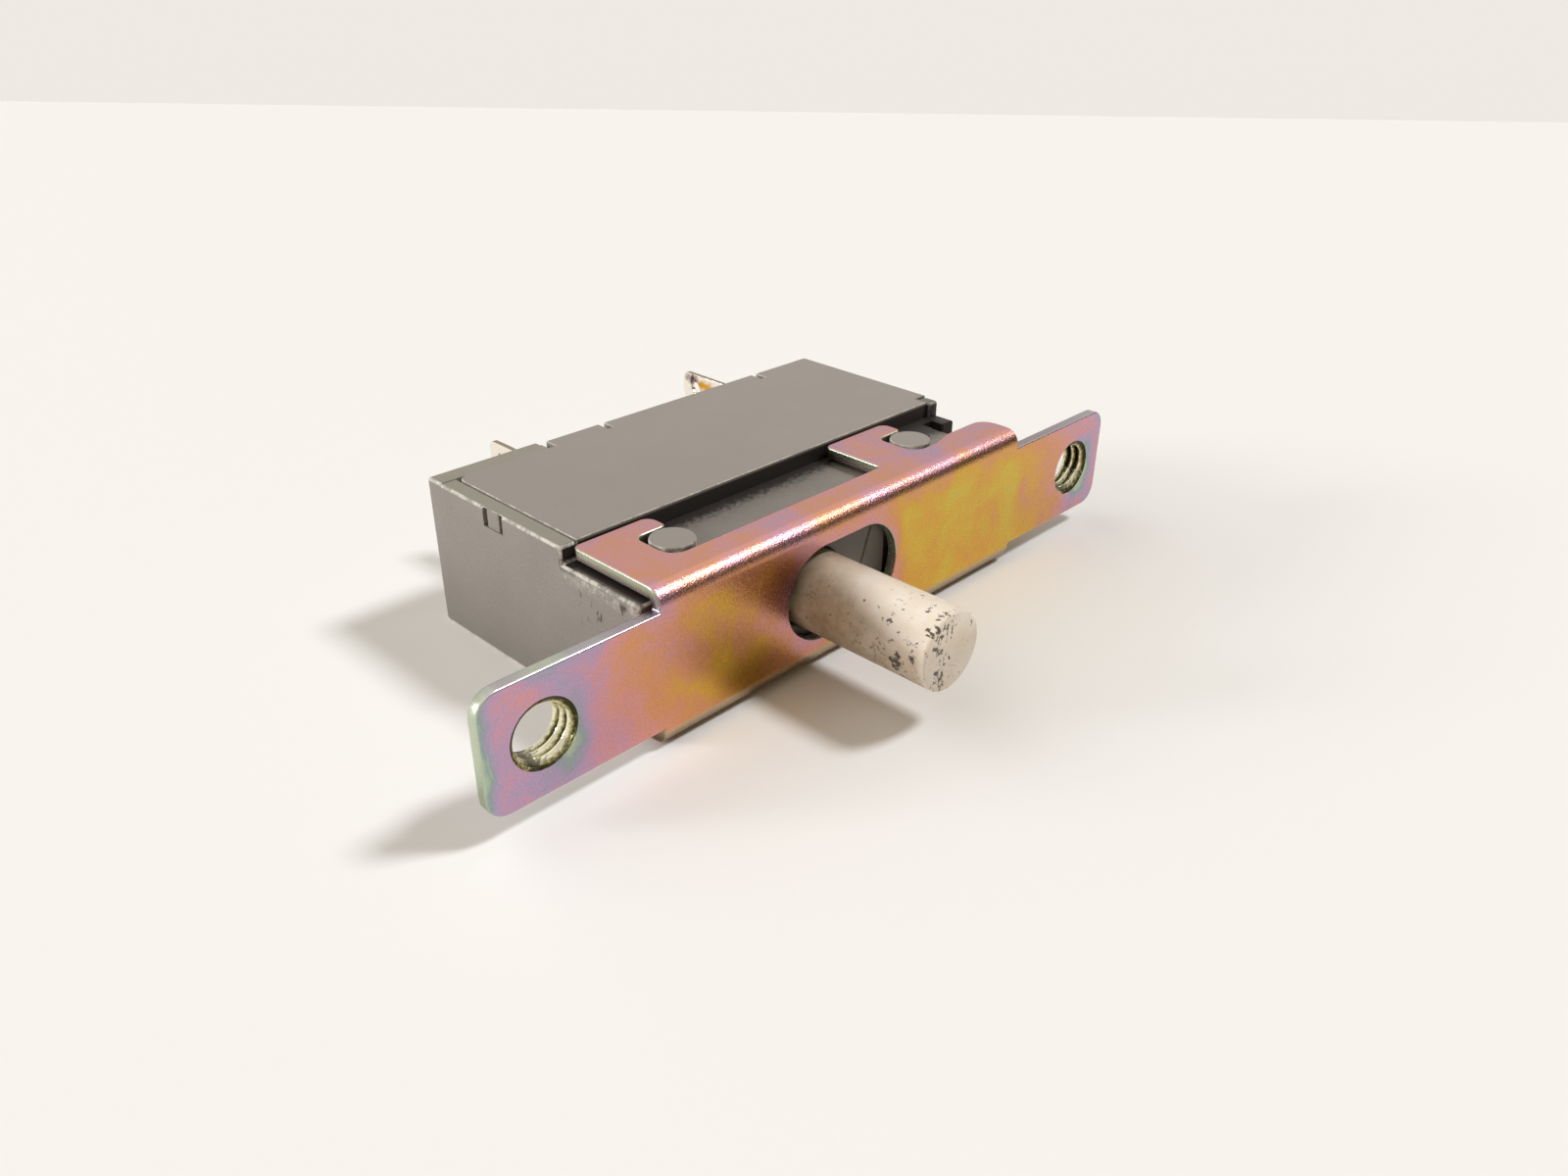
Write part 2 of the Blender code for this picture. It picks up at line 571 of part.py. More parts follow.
# ---------------------------------------------------------------- plunger and its clip
def make_plunger():
    """Rod, carriage and stem in one piece, with its origin on the sliding axis."""
    radius = PLUNGER_DIAMETER / 2
    inside = (carriage_front + carriage_rear) / 2
    profile = [(0.0, stem_end), (STEM_DIAMETER / 2, stem_end), (STEM_DIAMETER / 2, inside),
               (radius, inside)]
    for tick in range(ARC_STEPS + 1):
        angle = math.pi / 2 * tick / ARC_STEPS
        profile.append((radius - PLUNGER_TIP_ROUND * (1 - math.cos(angle)),
                        -PLUNGER_REACH + PLUNGER_TIP_ROUND * (1 - math.sin(angle))))
    profile.append((0.0, -PLUNGER_REACH))
    plunger = turned("plunger", profile, (PLUNGER_X, 0.0, 0.0), AXIS_BACK, parts)
    carriage = box("carriage", (PLUNGER_X - CARRIAGE_WIDTH / 2, carriage_front, -carriage_half),
                   (PLUNGER_X + CARRIAGE_WIDTH / 2, carriage_rear, carriage_half))
    join(plunger, carriage)
    finish(plunger, white_plastic)


def make_clip():
    clip = turned_ring("stem_clip", CLIP_DIAMETER / 2, STEM_DIAMETER / 2 + RIVET_GAP, clip_rear,
                       clip_front, (PLUNGER_X, 0.0, 0.0), AXIS_BACK, parts)
    finish(clip, spring_steel)


# ---------------------------------------------------------------- contact bridge and rivets
def rivet(name, x, face, strip_side):
    """A contact rivet.  face is its contact surface, strip_side is where its strip lies."""
    head = CONTACT_DIAMETER / 2
    shank = RIVET_SHANK / 2
    length = CONTACT_HEAD + STRIP + 2 * RIVET_GAP
    profile = [(0.0, 0.0), (head, 0.0), (head, -CONTACT_HEAD), (shank, -CONTACT_HEAD),
               (shank, -length), (head - RIVET_TAIL, -length),
               (head - RIVET_TAIL, -length - RIVET_TAIL), (0.0, -length - RIVET_TAIL)]
    turn = AXIS_BACK if strip_side < 0 else ALONG_Y
    piece = turned(name, profile, (x, face, 0.0), turn, parts)
    finish(piece, silver)


def rivet_hole(name, x, front, rear):
    return rod(name, RIVET_SHANK / 2 + RIVET_GAP, (x, front - PAST, 0.0), (x, rear + PAST, 0.0), AXIS_BACK)


def make_bridge():
    half_length = CONTACT_SPAN / 2 + BRIDGE_MARGIN
    half_height = BRIDGE_HEIGHT / 2
    corners = [(PLUNGER_X - half_length, -half_height, BLADE_CORNER),
               (PLUNGER_X + half_length, -half_height, BLADE_CORNER),
               (PLUNGER_X + half_length, half_height, BLADE_CORNER),
               (PLUNGER_X - half_length, half_height, BLADE_CORNER)]
    bridge = across_y("contact_bridge", corners, bridge_front, bridge_rear, parts)
    cut(bridge, rod("bridge_stem_hole", STEM_DIAMETER / 2 + GUIDE_GAP,
                    (PLUNGER_X, bridge_front - PAST, 0.0), (PLUNGER_X, bridge_rear + PAST, 0.0),
                    AXIS_BACK))
    cut(bridge, rivet_hole("bridge_left_hole", left_contact_x, bridge_front, bridge_rear))
    cut(bridge, rivet_hole("bridge_right_hole", right_contact_x, bridge_front, bridge_rear))
    finish(bridge, brass)
    rivet("moving_contact_left", left_contact_x, moving_face, -1)
    rivet("moving_contact_right", right_contact_x, moving_face, -1)


# ---------------------------------------------------------------- terminals
def make_terminal(name, blade_x, contact_x, reach):
    """A blade through the rear wall, folded inside into a strip that carries a contact."""
    tip = case_rear + reach
    blade_start = strip_front + STRIP / 4
    outline = [(blade_start, blade_foot, 0.0), (tip, blade_foot, BLADE_CORNER),
               (tip, blade_top, BLADE_CORNER), (blade_start, blade_top, 0.0)]
    terminal = across_x(name, outline, blade_x - STRIP / 2, blade_x + STRIP / 2, parts)
    inward = 1 if contact_x > blade_x else -1
    free_end = contact_x + inward * BRIDGE_MARGIN
    strip = box(name + "_strip", (min(blade_x, free_end), strip_front, -STRIP_FOOT),
                (max(blade_x, free_end), strip_rear, blade_top - STRIP_TOP_DROP))
    join(terminal, strip)
    cut(terminal, rivet_hole(name + "_rivet_hole", contact_x, strip_front, strip_rear))
    cut(terminal, prism(name + "_solder_hole", circle(tip - SOLDER_HOLE_SETBACK, blade_middle),
                        (blade_x, 0.0, 0.0), STRIP + 2 * PAST, ALONG_X))
    finish(terminal, tinned_brass)


def circle(across, up):
    """Points of the solder hole."""
    points = []
    for tick in range(ROUND_STEPS // 2):
        angle = 2 * math.pi * tick / (ROUND_STEPS // 2)
        points.append((across + SOLDER_HOLE / 2 * math.cos(angle), up + SOLDER_HOLE / 2 * math.sin(angle)))
    return points


# ---------------------------------------------------------------- springs
def coil(name, start, end, diameter, turns):
    """A compression spring from start to end along the plunger's axis, with closed end turns."""
    low = start + CLAMP_GAP + SPRING_WIRE / 2
    high = end - CLAMP_GAP - SPRING_WIRE / 2
    closed = CLOSED_PITCH * SPRING_WIRE
    rise = (high - low - 2 * closed) / (turns - 2)
    curve = bpy.data.curves.new(name, "CURVE")
    curve.dimensions = "3D"
    curve.bevel_depth = SPRING_WIRE / 2
    curve.bevel_resolution = 2
    curve.use_fill_caps = True
    spline = curve.splines.new("POLY")
    spline.points.add(turns * COIL_STEPS)
    for tick, spot in enumerate(spline.points):
        turn = tick / COIL_STEPS
        angle = 2 * math.pi * turn
        height = low + closed * min(turn, 1) + closed * max(turn - turns + 1, 0)
        height += rise * min(max(turn - 1, 0), turns - 2)
        spot.co = (diameter / 2 * math.cos(angle), diameter / 2 * math.sin(angle), height, 1.0)
    piece = add_object(name, curve, parts, (PLUNGER_X, 0.0, 0.0), AXIS_BACK)
    finish(piece, spring_steel)


make_bracket()
make_case()
make_cover()
make_plunger()
make_clip()
make_bridge()
make_terminal("terminal_left", LEFT_TERMINAL_X, left_contact_x, LEFT_TERMINAL_REACH)
make_terminal("terminal_right", RIGHT_TERMINAL_X, right_contact_x, RIGHT_TERMINAL_REACH)
rivet("fixed_contact_left", left_contact_x, fixed_face, 1)
rivet("fixed_contact_right", right_contact_x, fixed_face, 1)
coil("contact_spring", carriage_rear, bridge_front, CONTACT_SPRING_COIL, CONTACT_SPRING_TURNS)
coil("return_spring", clip_rear, cavity_rear, RETURN_SPRING_COIL, RETURN_SPRING_TURNS)

for thing in parts.objects:
    if thing.type == "MESH":
        smooth(thing)
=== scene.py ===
# %% [markdown]
# # A plunger limit switch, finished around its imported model
#
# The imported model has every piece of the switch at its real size.  This script keeps that frame
# and makes the finer surfaces around it: a folded sheet steel bracket with tapped holes, a
# moulded case with its cover, a worn plunger, two blade terminals and the working parts inside.
# Each step has a note first and then short code cells.

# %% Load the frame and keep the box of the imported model
import math

import bmesh
import bpy
from mathutils import Matrix, Vector


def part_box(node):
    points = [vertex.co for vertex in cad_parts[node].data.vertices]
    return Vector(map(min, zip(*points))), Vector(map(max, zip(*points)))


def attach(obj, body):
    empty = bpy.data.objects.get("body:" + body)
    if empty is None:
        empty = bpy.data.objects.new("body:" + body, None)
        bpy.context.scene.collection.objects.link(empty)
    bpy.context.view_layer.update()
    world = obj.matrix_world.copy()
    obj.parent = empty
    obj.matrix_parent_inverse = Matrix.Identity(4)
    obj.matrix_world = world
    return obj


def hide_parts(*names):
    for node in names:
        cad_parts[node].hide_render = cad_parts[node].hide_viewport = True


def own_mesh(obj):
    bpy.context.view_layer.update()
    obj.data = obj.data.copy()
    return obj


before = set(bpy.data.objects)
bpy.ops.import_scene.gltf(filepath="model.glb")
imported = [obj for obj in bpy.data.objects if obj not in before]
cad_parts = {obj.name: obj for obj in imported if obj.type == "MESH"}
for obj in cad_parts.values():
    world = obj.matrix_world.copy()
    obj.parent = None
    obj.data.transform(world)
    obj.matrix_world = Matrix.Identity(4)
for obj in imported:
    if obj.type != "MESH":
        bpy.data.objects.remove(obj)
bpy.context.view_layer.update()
MM = 0.001

# %% [markdown]
# ## Places and sizes
#
# Drawings of folded parts measure from one datum.  Here it is the middle of the bracket's front
# face: `FRONT` is that face and `MID` is its mid-height, both read from the frame.  The sizes
# below repeat the part's own driving dimensions, so that each new surface lies where the packed
# one does.

# %% Datum and boxes from the frame
bracket_low, bracket_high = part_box("mounting_bracket")
case_low, case_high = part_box("switch_case")
plunger_low, plunger_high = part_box("plunger")
FRONT = bracket_low.y
MID = (bracket_low.z + bracket_high.z) / 2
print("front face and mid-height, mm:", round(FRONT / MM, 3), round(MID / MM, 3))

# %% Driving sizes of the bracket
BRACKET_HALF = (bracket_high.x - bracket_low.x) / 2
SHEET = 1.0 * MM
EAR_HALF = 4.7 * MM
EAR_CORNER = 1.7 * MM
BEND_OUTSIDE = 1.4 * MM
FLANGE_LEFT = -20.4 * MM
FLANGE_RIGHT = 20.9 * MM
FLANGE_CORNER = 1.5 * MM
FLANGE_OUTSIDE = (bracket_high.z - bracket_low.z) / 2
BEND_START = FLANGE_OUTSIDE - BEND_OUTSIDE
HOLE_X = 30.3 * MM
PLUNGER_X = (plunger_low.x + plunger_high.x) / 2
SLOT_HALF = 3.93 * MM
SLOT_LEFT_X = PLUNGER_X + 0.1 * MM
SLOT_RIGHT_X = SLOT_LEFT_X + 4.64 * MM
print("bracket: ears", round(2 * EAR_HALF / MM, 2), "mm high, holes", round(2 * HOLE_X / MM, 2), "mm apart")

# %% Driving sizes of the case and places of the blades
CASE_LEFT = case_low.x
CASE_RIGHT = case_high.x
CASE_REAR = case_high.y
CASE_HALF = (case_high.z - case_low.z) / 2
NOSE_HALF = 5.0 * MM
NOSE_FRONT = FRONT + 1.3 * MM
STEP = FRONT + 9.9 * MM
BLADE_XS = (-10.45 * MM, 14.4 * MM)
print("case: body", round(2 * CASE_HALF / MM, 2), "mm high, nose", round(2 * NOSE_HALF / MM, 2), "mm high")

# %% [markdown]
# ## Helpers for shapes
#
# A moulded or stamped piece starts as a flat outline.  `rounded` turns corners with a radius into
# points, `slab` gives an outline its thickness, `turned` spins a profile, and `carve` cuts or
# joins two closed shapes.  Working on `bmesh` data keeps each object at the origin, with its
# place in its mesh.

# %% Outlines with rounded corners
def rounded(corners, steps=6):
    """Points of an outline whose corners are (across, up, radius)."""
    points = []
    for index, (across, up, radius) in enumerate(corners):
        here = Vector((across, up))
        if radius == 0:
            points.append(here)
            continue
        back = (Vector(corners[index - 1][:2]) - here).normalized()
        ahead = (Vector(corners[(index + 1) % len(corners)][:2]) - here).normalized()
        half_angle = back.angle(ahead) / 2
        start = here + back * radius / math.tan(half_angle)
        end = here + ahead * radius / math.tan(half_angle)
        centre = here + (back + ahead).normalized() * radius / math.sin(half_angle)
        first = math.atan2(start.y - centre.y, start.x - centre.x)
        last = math.atan2(end.y - centre.y, end.x - centre.x)
        sweep = (last - first + math.pi) % (2 * math.pi) - math.pi
        for tick in range(steps + 1):
            angle = first + sweep * tick / steps
            points.append(centre + radius * Vector((math.cos(angle), math.sin(angle))))
    return points


def arc(centre_x, centre_y, radius, first, last, steps=16):
    """Points on an arc between two angles in degrees."""
    angles = [math.radians(first + (last - first) * tick / steps) for tick in range(steps + 1)]
    return [Vector((centre_x + radius * math.cos(a), centre_y + radius * math.sin(a))) for a in angles]


# %% A slab from an outline
def along_x(across, up, depth):
    """A side view: across runs along Y, up along Z and the thickness along X."""
    return Vector((depth, across, MID + up))


def along_y(across, up, depth):
    """A front view: across runs along X, up along Z and the thickness along Y."""
    return Vector((across, depth, MID + up))


def along_z(across, up, depth):
    """A plan: across runs along X, up along Y and the thickness along Z."""
    return Vector((across, up, MID + depth))


def slab(outline, place, low, high, rim_slot=0):
    """A flat outline with a thickness from low to high.  Its rim can take another material."""
    shape = bmesh.new()
    ring = [shape.verts.new(place(across, up, low)) for across, up in outline]
    shape.faces.new(ring)
    grown = bmesh.ops.extrude_face_region(shape, geom=list(shape.faces))
    moved = [item for item in grown["geom"] if isinstance(item, bmesh.types.BMVert)]
    bmesh.ops.translate(shape, verts=moved, vec=place(0, 0, high) - place(0, 0, low))
    bmesh.ops.recalc_face_normals(shape, faces=shape.faces)
    for face in shape.faces:
        face.material_index = rim_slot if len(face.verts) == 4 else 0
    return shape


def block(low, high):
    """A box between two corners, with its heights measured from the case's mid-height."""
    low, high = Vector(low), Vector(high)
    size = high - low
    shape = bmesh.new()
    place = Matrix.Translation((low + high) / 2 + Vector((0, 0, MID)))
    bmesh.ops.create_cube(shape, size=1.0, matrix=place @ Matrix.Diagonal((*size, 1.0)))
    return shape


# %% Turned shapes and soft edges
def turned(profile, centre, steps=64):
    """Spin a profile of (radius, distance) round an axis along Y through centre."""
    shape = bmesh.new()
    chain = [shape.verts.new((radius, along, 0.0)) for radius, along in profile]
    edges = [shape.edges.new(pair) for pair in zip(chain, chain[1:])]
    bmesh.ops.spin(shape, geom=chain + edges, cent=(0, 0, 0), axis=(0, 1, 0), angle=2 * math.pi,
                   steps=steps, use_merge=True)
    bmesh.ops.remove_doubles(shape, verts=shape.verts, dist=0.0001 * MM)
    bmesh.ops.translate(shape, verts=shape.verts, vec=centre)
    bmesh.ops.recalc_face_normals(shape, faces=shape.faces)
    return shape


def soften(shape, width, segments=3, sharper_than=60, chosen=None):
    """Round the edges where faces meet more sharply than an angle."""
    limit = math.radians(sharper_than)
    edges = [edge for edge in shape.edges if edge.calc_face_angle(0) > limit]
    if chosen:
        edges = [edge for edge in edges if chosen(edge)]
    bmesh.ops.bevel(shape, geom=edges, offset=width, segments=segments, profile=0.5,
                    affect="EDGES", material=-1, clamp_overlap=True)
    return shape


# %% Cutting and joining closed shapes
def carve(base, tool, operation="DIFFERENCE"):
    """Cut, join or trim base with tool, and return the result as one new shape.

    Each shape gets three empty material places, so that its faces keep their numbers.
    """
    pair = []
    for shape in (base, tool):
        mesh = bpy.data.meshes.new("work")
        shape.to_mesh(mesh)
        shape.free()
        thing = bpy.data.objects.new("work", mesh)
        bpy.context.scene.collection.objects.link(thing)
        for _ in range(3):
            mesh.materials.append(None)
        pair.append(thing)
    modifier = pair[0].modifiers.new("carve", "BOOLEAN")
    modifier.operation = operation
    modifier.solver = "EXACT"
    modifier.object = pair[1]
    evaluated = pair[0].evaluated_get(bpy.context.evaluated_depsgraph_get())
    result = bmesh.new()
    result.from_mesh(evaluated.to_mesh())
    for thing in pair:
        mesh = thing.data
        bpy.data.objects.remove(thing)
        bpy.data.meshes.remove(mesh)
    return result


def carve_all(base, tools, operation="DIFFERENCE"):
    """Carve base with one tool after another."""
    for tool in tools:
        base = carve(base, tool, operation)
    return base


# %% Turn a finished shape into a piece that rides on a body
STRAIGHT = math.radians(0.05)


def make_piece(name, shape, materials, body, slot, *nodes):
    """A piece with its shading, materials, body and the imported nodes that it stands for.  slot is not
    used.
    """
    bmesh.ops.remove_doubles(shape, verts=shape.verts, dist=0.0005 * MM)
    # A vertex in the middle of a straight edge goes, or both faces there get the same needle when
    # they are split into triangles.
    between = [vert for vert in shape.verts if len(vert.link_edges) == 2
               and vert.calc_edge_angle() < STRAIGHT]
    bmesh.ops.dissolve_verts(shape, verts=between)
    open_edges = sum(1 for edge in shape.edges if len(edge.link_faces) != 2)
    mesh = bpy.data.meshes.new(name)
    shape.to_mesh(mesh)
    shape.free()
    for material in materials:
        mesh.materials.append(material)
    mesh.shade_smooth()
    mesh.set_sharp_from_angle(angle=math.radians(32))
    piece = bpy.data.objects.new(name, mesh)
    bpy.context.scene.collection.objects.link(piece)
    weights = piece.modifiers.new("flat faces stay flat", "WEIGHTED_NORMAL")
    weights.keep_sharp = True
    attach(piece, body)
    if nodes:
        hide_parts(*nodes)
    print(f"{name}: {len(mesh.polygons)} faces, {open_edges} open edges")
    return piece


# %% [markdown]
# ## Helpers for finishes
#
# A material is a small tree of nodes.  One helper adds a node with its settings and links, so a
# tree reads from top to bottom.  Colours are written as sRGB hex values, as in a paint chart, and
# `linear` turns them to the linear values that the renderer works in.  Every pattern reads
# Object coordinates, which are metres on the real switch, so a pattern's size is a real size.

# %% Colours and nodes
def linear(colour):
    """Linear red, green, blue and alpha from an sRGB hex value."""
    channels = [int(colour[start:start + 2], 16) / 255 for start in (1, 3, 5)]
    return (*[c / 12.92 if c <= 0.04045 else ((c + 0.055) / 1.055) ** 2.4 for c in channels], 1.0)


def add(tree, kind, *values, inputs=None, **settings):
    """Add a node.  Values fill its sockets in order, and a node or socket as a value is linked."""
    node = tree.nodes.new("ShaderNode" + kind)
    for name, value in settings.items():
        setattr(node, name, value)
    filled = list(zip([socket for socket in node.inputs if socket.enabled], values))
    filled += [(node.inputs[name], value) for name, value in (inputs or {}).items()]
    for socket, value in filled:
        if isinstance(value, bpy.types.Node):
            value = next(output for output in value.outputs if output.enabled)
        if isinstance(value, bpy.types.NodeSocket):
            tree.links.new(value, socket)
        elif value is not None:
            socket.default_value = value
    return node


def set_stops(ramp, stops):
    """Give a colour ramp its stops: (position, hex colour or grey level)."""
    elements = ramp.color_ramp.elements
    while len(elements) < len(stops):
        elements.new(1.0)
    for element, (position, value) in zip(elements, stops):
        element.position = position
        element.color = linear(value) if isinstance(value, str) else (value, value, value, 1.0)
    return ramp


print("mid grey #808080 in linear light:", round(linear("#808080")[0], 3))

# %% Start and end of every finish
def new_finish(name, metallic, roughness):
    """A material with its tree, its shader and its Object coordinates."""
    material = bpy.data.materials.new(name)
    material.use_nodes = True
    tree = material.node_tree
    shader = tree.nodes["Principled BSDF"]
    shader.inputs["Metallic"].default_value = metallic
    shader.inputs["Roughness"].default_value = roughness
    return material, tree, shader, add(tree, "TexCoord").outputs["Object"]


def height_and_axes(tree, spot):
    """Height above the bracket's mid-height, and the three Object coordinates."""
    axes = add(tree, "SeparateXYZ", spot)
    return add(tree, "Math", axes.outputs["Z"], MID, operation="SUBTRACT"), axes.outputs


def finish_with(tree, shader, colour, gloss, relief, depth):
    """Link a colour and a roughness, and make a height into a relief of that depth."""
    tree.links.new(colour.outputs[2 if colour.type == "MIX" else 0], shader.inputs["Base Color"])
    tree.links.new(gloss.outputs[0], shader.inputs["Roughness"])
    bump = add(tree, "Bump", inputs={"Strength": 1.0, "Distance": depth, "Height": relief.outputs[0]})
    tree.links.new(bump.outputs["Normal"], shader.inputs["Normal"])


# %% [markdown]
# ## Bracket finish
#
# The bracket is cold rolled steel, zinc plated and then dipped in a yellow chromate.  The film it
# leaves is clear and thinner than a wavelength, so its colour is interference: gold where it is
# thin, then orange, salmon, pink, lilac, blue-grey and pale green as it gets thicker.  A map of
# the film's thickness goes through one ramp of those colours.  That keeps neighbouring colours in
# their natural order, which a mix of painted patches would not.  The thickness changes slowly
# along the bracket, as the dip drained, in cloudy patches, and quickly at holes and edges.

# %% Colours of the film on the faces and on the sheared edges
FILM_COLOURS = ((0.0, "#b3b193"), (0.12, "#d8bb4c"), (0.28, "#dbaa4c"), (0.42, "#d99b70"),
                (0.56, "#d89b94"), (0.68, "#cb9bae"), (0.8, "#b49fbe"), (0.91, "#95a5a6"),
                (1.0, "#b0c2aa"))
EDGE_COLOURS = ((0.0, "#9f9494"), (0.4, "#a79da6"), (0.6, "#b3b0b4"), (0.72, "#c3cbb4"),
                (1.0, "#aec3a6"))
# Thickness of the film along the bracket: (mm from its middle, place on the ramps above).
DRAINED = ((-35, 0.80), (-29, 0.74), (-25, 0.58), (-19, 0.46), (-14, 0.31), (-10, 0.34),
           (-7, 0.42), (-3, 0.38), (2, 0.26), (12, 0.20), (20, 0.22), (24, 0.32), (28, 0.52),
           (31, 0.68), (35, 0.74))


def drained_film(tree, x, height, folded, plate_shift, flange_film):
    """The film's thickness as the dip drained off the plate, and one thickness on the flanges."""
    along = add(tree, "MapRange", x, -BRACKET_HALF, BRACKET_HALF, 0.0, 1.0)
    stops = [((place * MM + BRACKET_HALF) / (2 * BRACKET_HALF), film) for place, film in DRAINED]
    drained = set_stops(add(tree, "ValToRGB", along), stops)
    pinker = add(tree, "MapRange", height, 3.4 * MM, BEND_START, 0.0, 0.12)
    for extra in (pinker, plate_shift):
        drained = add(tree, "Math", drained, extra, operation="ADD")
    return add(tree, "Mix", folded, drained, flange_film)


print("colours of the film:", len(FILM_COLOURS), "on faces,", len(EDGE_COLOURS), "on edges")

# %% Film round the slot, round the holes and at the left end
FRINGE_WIDTH = 1.7 * MM
HALO_INSIDE = 2.6 * MM
HALO_OUTSIDE = 4.4 * MM
RING_RADIUS = 4.2 * MM
DRIP_SLOPE = -0.2


def fringes(tree, x, height, slot_fringe):
    """Changes of the film where it clings: the slot's rim, the holes' halos and the left end."""
    slot_x = add(tree, "Clamp", x, SLOT_LEFT_X, SLOT_RIGHT_X)
    side = add(tree, "Math", x, slot_x, operation="SUBTRACT")
    out = add(tree, "CombineXYZ", side, 0.0, height)
    from_slot = add(tree, "VectorMath", out, operation="LENGTH")
    fringe = add(tree, "MapRange", from_slot, SLOT_HALF, SLOT_HALF + FRINGE_WIDTH, slot_fringe, 0.0)
    reach = add(tree, "Math", x, operation="ABSOLUTE")
    past_hole = add(tree, "Math", reach, HOLE_X, operation="SUBTRACT")
    around = add(tree, "CombineXYZ", past_hole, 0.0, height)
    from_hole = add(tree, "VectorMath", around, operation="LENGTH")
    halo = add(tree, "MapRange", from_hole, HALO_INSIDE, HALO_OUTSIDE, 1.0, 0.0)
    which_end = add(tree, "Math", x, operation="SIGN")
    drip = add(tree, "Math", past_hole, which_end, operation="MULTIPLY")
    drip = add(tree, "Math", height, DRIP_SLOPE, drip, operation="MULTIPLY_ADD")
    halo_most = add(tree, "MapRange", x, -HOLE_X, HOLE_X, 0.17, 0.36)
    halo_film = add(tree, "MapRange", drip, -1.2 * MM, 2.4 * MM, -0.02, halo_most)
    halo = add(tree, "Math", halo, halo_film, operation="MULTIPLY")
    off_ring = add(tree, "Math", from_hole, RING_RADIUS, operation="SUBTRACT")
    off_ring = add(tree, "Math", off_ring, operation="ABSOLUTE")
    ring = add(tree, "MapRange", off_ring, 0.03 * MM, 0.1 * MM, 0.07, 0.0)
    end_tint = add(tree, "MapRange", x, 1.2 * MM - BRACKET_HALF, 0.1 * MM - BRACKET_HALF, 0.0, 0.18)
    return fringe, halo, ring, end_tint


# %% [markdown]
# Three things lie over the film.  Beside and under the plunger a brown is painted: the dark
# reflection of the plunger's shaded side and of its shadow on the table.  Along the lower fold a
# pale and then brown line lies partly where the dip dripped off, and is partly a painted
# reflection of the table in its pale part and painted shade in its brown part.  The sheared edges
# show a grey middle, where the die tore the steel instead of cutting it.  Bending stretches the
# outside of the sheet and opens its grain, so the folds are rougher and a little duller than the
# faces, and glitter in lamp light.  The grain is drawn 0.13 mm coarse, which is what it takes to
# show.

# %% Painted dark reflection beside and under the plunger
# The brown of a painted dark reflection, laid over the gold film.
PAINTED_REFLECTION_BROWN = "#5e3018"
PAINTED_REFLECTION_MOST = 0.52
# The middle of each spot, in x and height, and its half width and half height, in mm.
PAINTED_REFLECTION_SPOTS = ((-8.2, 2.6, 3.3, 3.6), (-12.0, -4.0, 5.2, 3.0))


def near_spot(tree, x, height, middle_x, middle_height, half_width, half_height):
    """1 at a spot of the front plate, falling to 0 at an ellipse around it."""
    over = add(tree, "Math", x, middle_x, operation="SUBTRACT")
    over = add(tree, "Math", over, half_width, operation="DIVIDE")
    up = add(tree, "Math", height, middle_height, operation="SUBTRACT")
    up = add(tree, "Math", up, half_height, operation="DIVIDE")
    away = add(tree, "VectorMath", add(tree, "CombineXYZ", over, up, 0.0), operation="LENGTH")
    return add(tree, "MapRange", away, 0.1, 1.0, 1.0, 0.0, interpolation_type="SMOOTHSTEP")


def painted_reflection_on_front(tree, x, height, folded, colour):
    """Lay a painted dark reflection of the plunger and of its shadow over the front plate."""
    beside, under = [near_spot(tree, x, height, *(size * MM for size in sizes))
                     for sizes in PAINTED_REFLECTION_SPOTS]
    painted_reflection = add(tree, "Math", beside, under, operation="MAXIMUM")
    on_front = add(tree, "MapRange", folded, 0.2, 0.7, 1.0, 0.0)
    for share in (PAINTED_REFLECTION_MOST, on_front):
        painted_reflection = add(tree, "Math", painted_reflection, share, operation="MULTIPLY")
    return add(tree, "Mix", painted_reflection, colour, linear(PAINTED_REFLECTION_BROWN), data_type="RGBA")


print("spots of grime:", len(PAINTED_REFLECTION_SPOTS))

# %% Drip line with painted reflection and shade, torn edges and the open grain of the folds
# Pale: drip and painted reflection of the table.  Brown: drip and painted shade.
PALE_DRIP_AND_REFLECTION = "#c4b08e"
BROWN_DRIP_AND_SHADE = "#8a7658"
TORN_STEEL = "#8d8672"
DULL_FOLD = "#7c5a50"
FOLD_GRAIN = 2.5


def drip_line_and_painted_light(tree, height, colour):
    """Lay the pale and then brown line over the lower bend: the dip's drip, with a painted reflection of
    the table in the pale part and painted shade in the brown part.
    """
    pale = add(tree, "MapRange", height, -EAR_HALF, -EAR_HALF - 0.3 * MM, 0.0, 0.9)
    brown = add(tree, "MapRange", height, -EAR_HALF - 0.5 * MM, -EAR_HALF - 1.0 * MM, 0.0, 1.0)
    line = add(tree, "Mix", brown, linear(PALE_DRIP_AND_REFLECTION), linear(BROWN_DRIP_AND_SHADE), data_type="RGBA")
    on_bend = add(tree, "MapRange", height, -FLANGE_OUTSIDE + 0.02 * MM, -FLANGE_OUTSIDE + 0.1 * MM,
                  0.0, 1.0)
    pale = add(tree, "Math", pale, on_bend, operation="MULTIPLY")
    return add(tree, "Mix", pale, colour, line.outputs[2], data_type="RGBA")


def torn_middle(tree, off_middle, folded, patches, fracture, colour):
    """Lay the grey of torn steel over the inner part of the flanges' sheared edges."""
    inside = add(tree, "Math", FLANGE_OUTSIDE, off_middle, operation="SUBTRACT")
    inside = add(tree, "Math", patches, 0.5 * MM, inside, operation="MULTIPLY_ADD")
    torn = add(tree, "MapRange", inside, 0.6 * MM, 0.9 * MM, 0.0, fracture)
    torn = add(tree, "Math", torn, folded, operation="MULTIPLY")
    return add(tree, "Mix", torn, colour, linear(TORN_STEEL), data_type="RGBA")


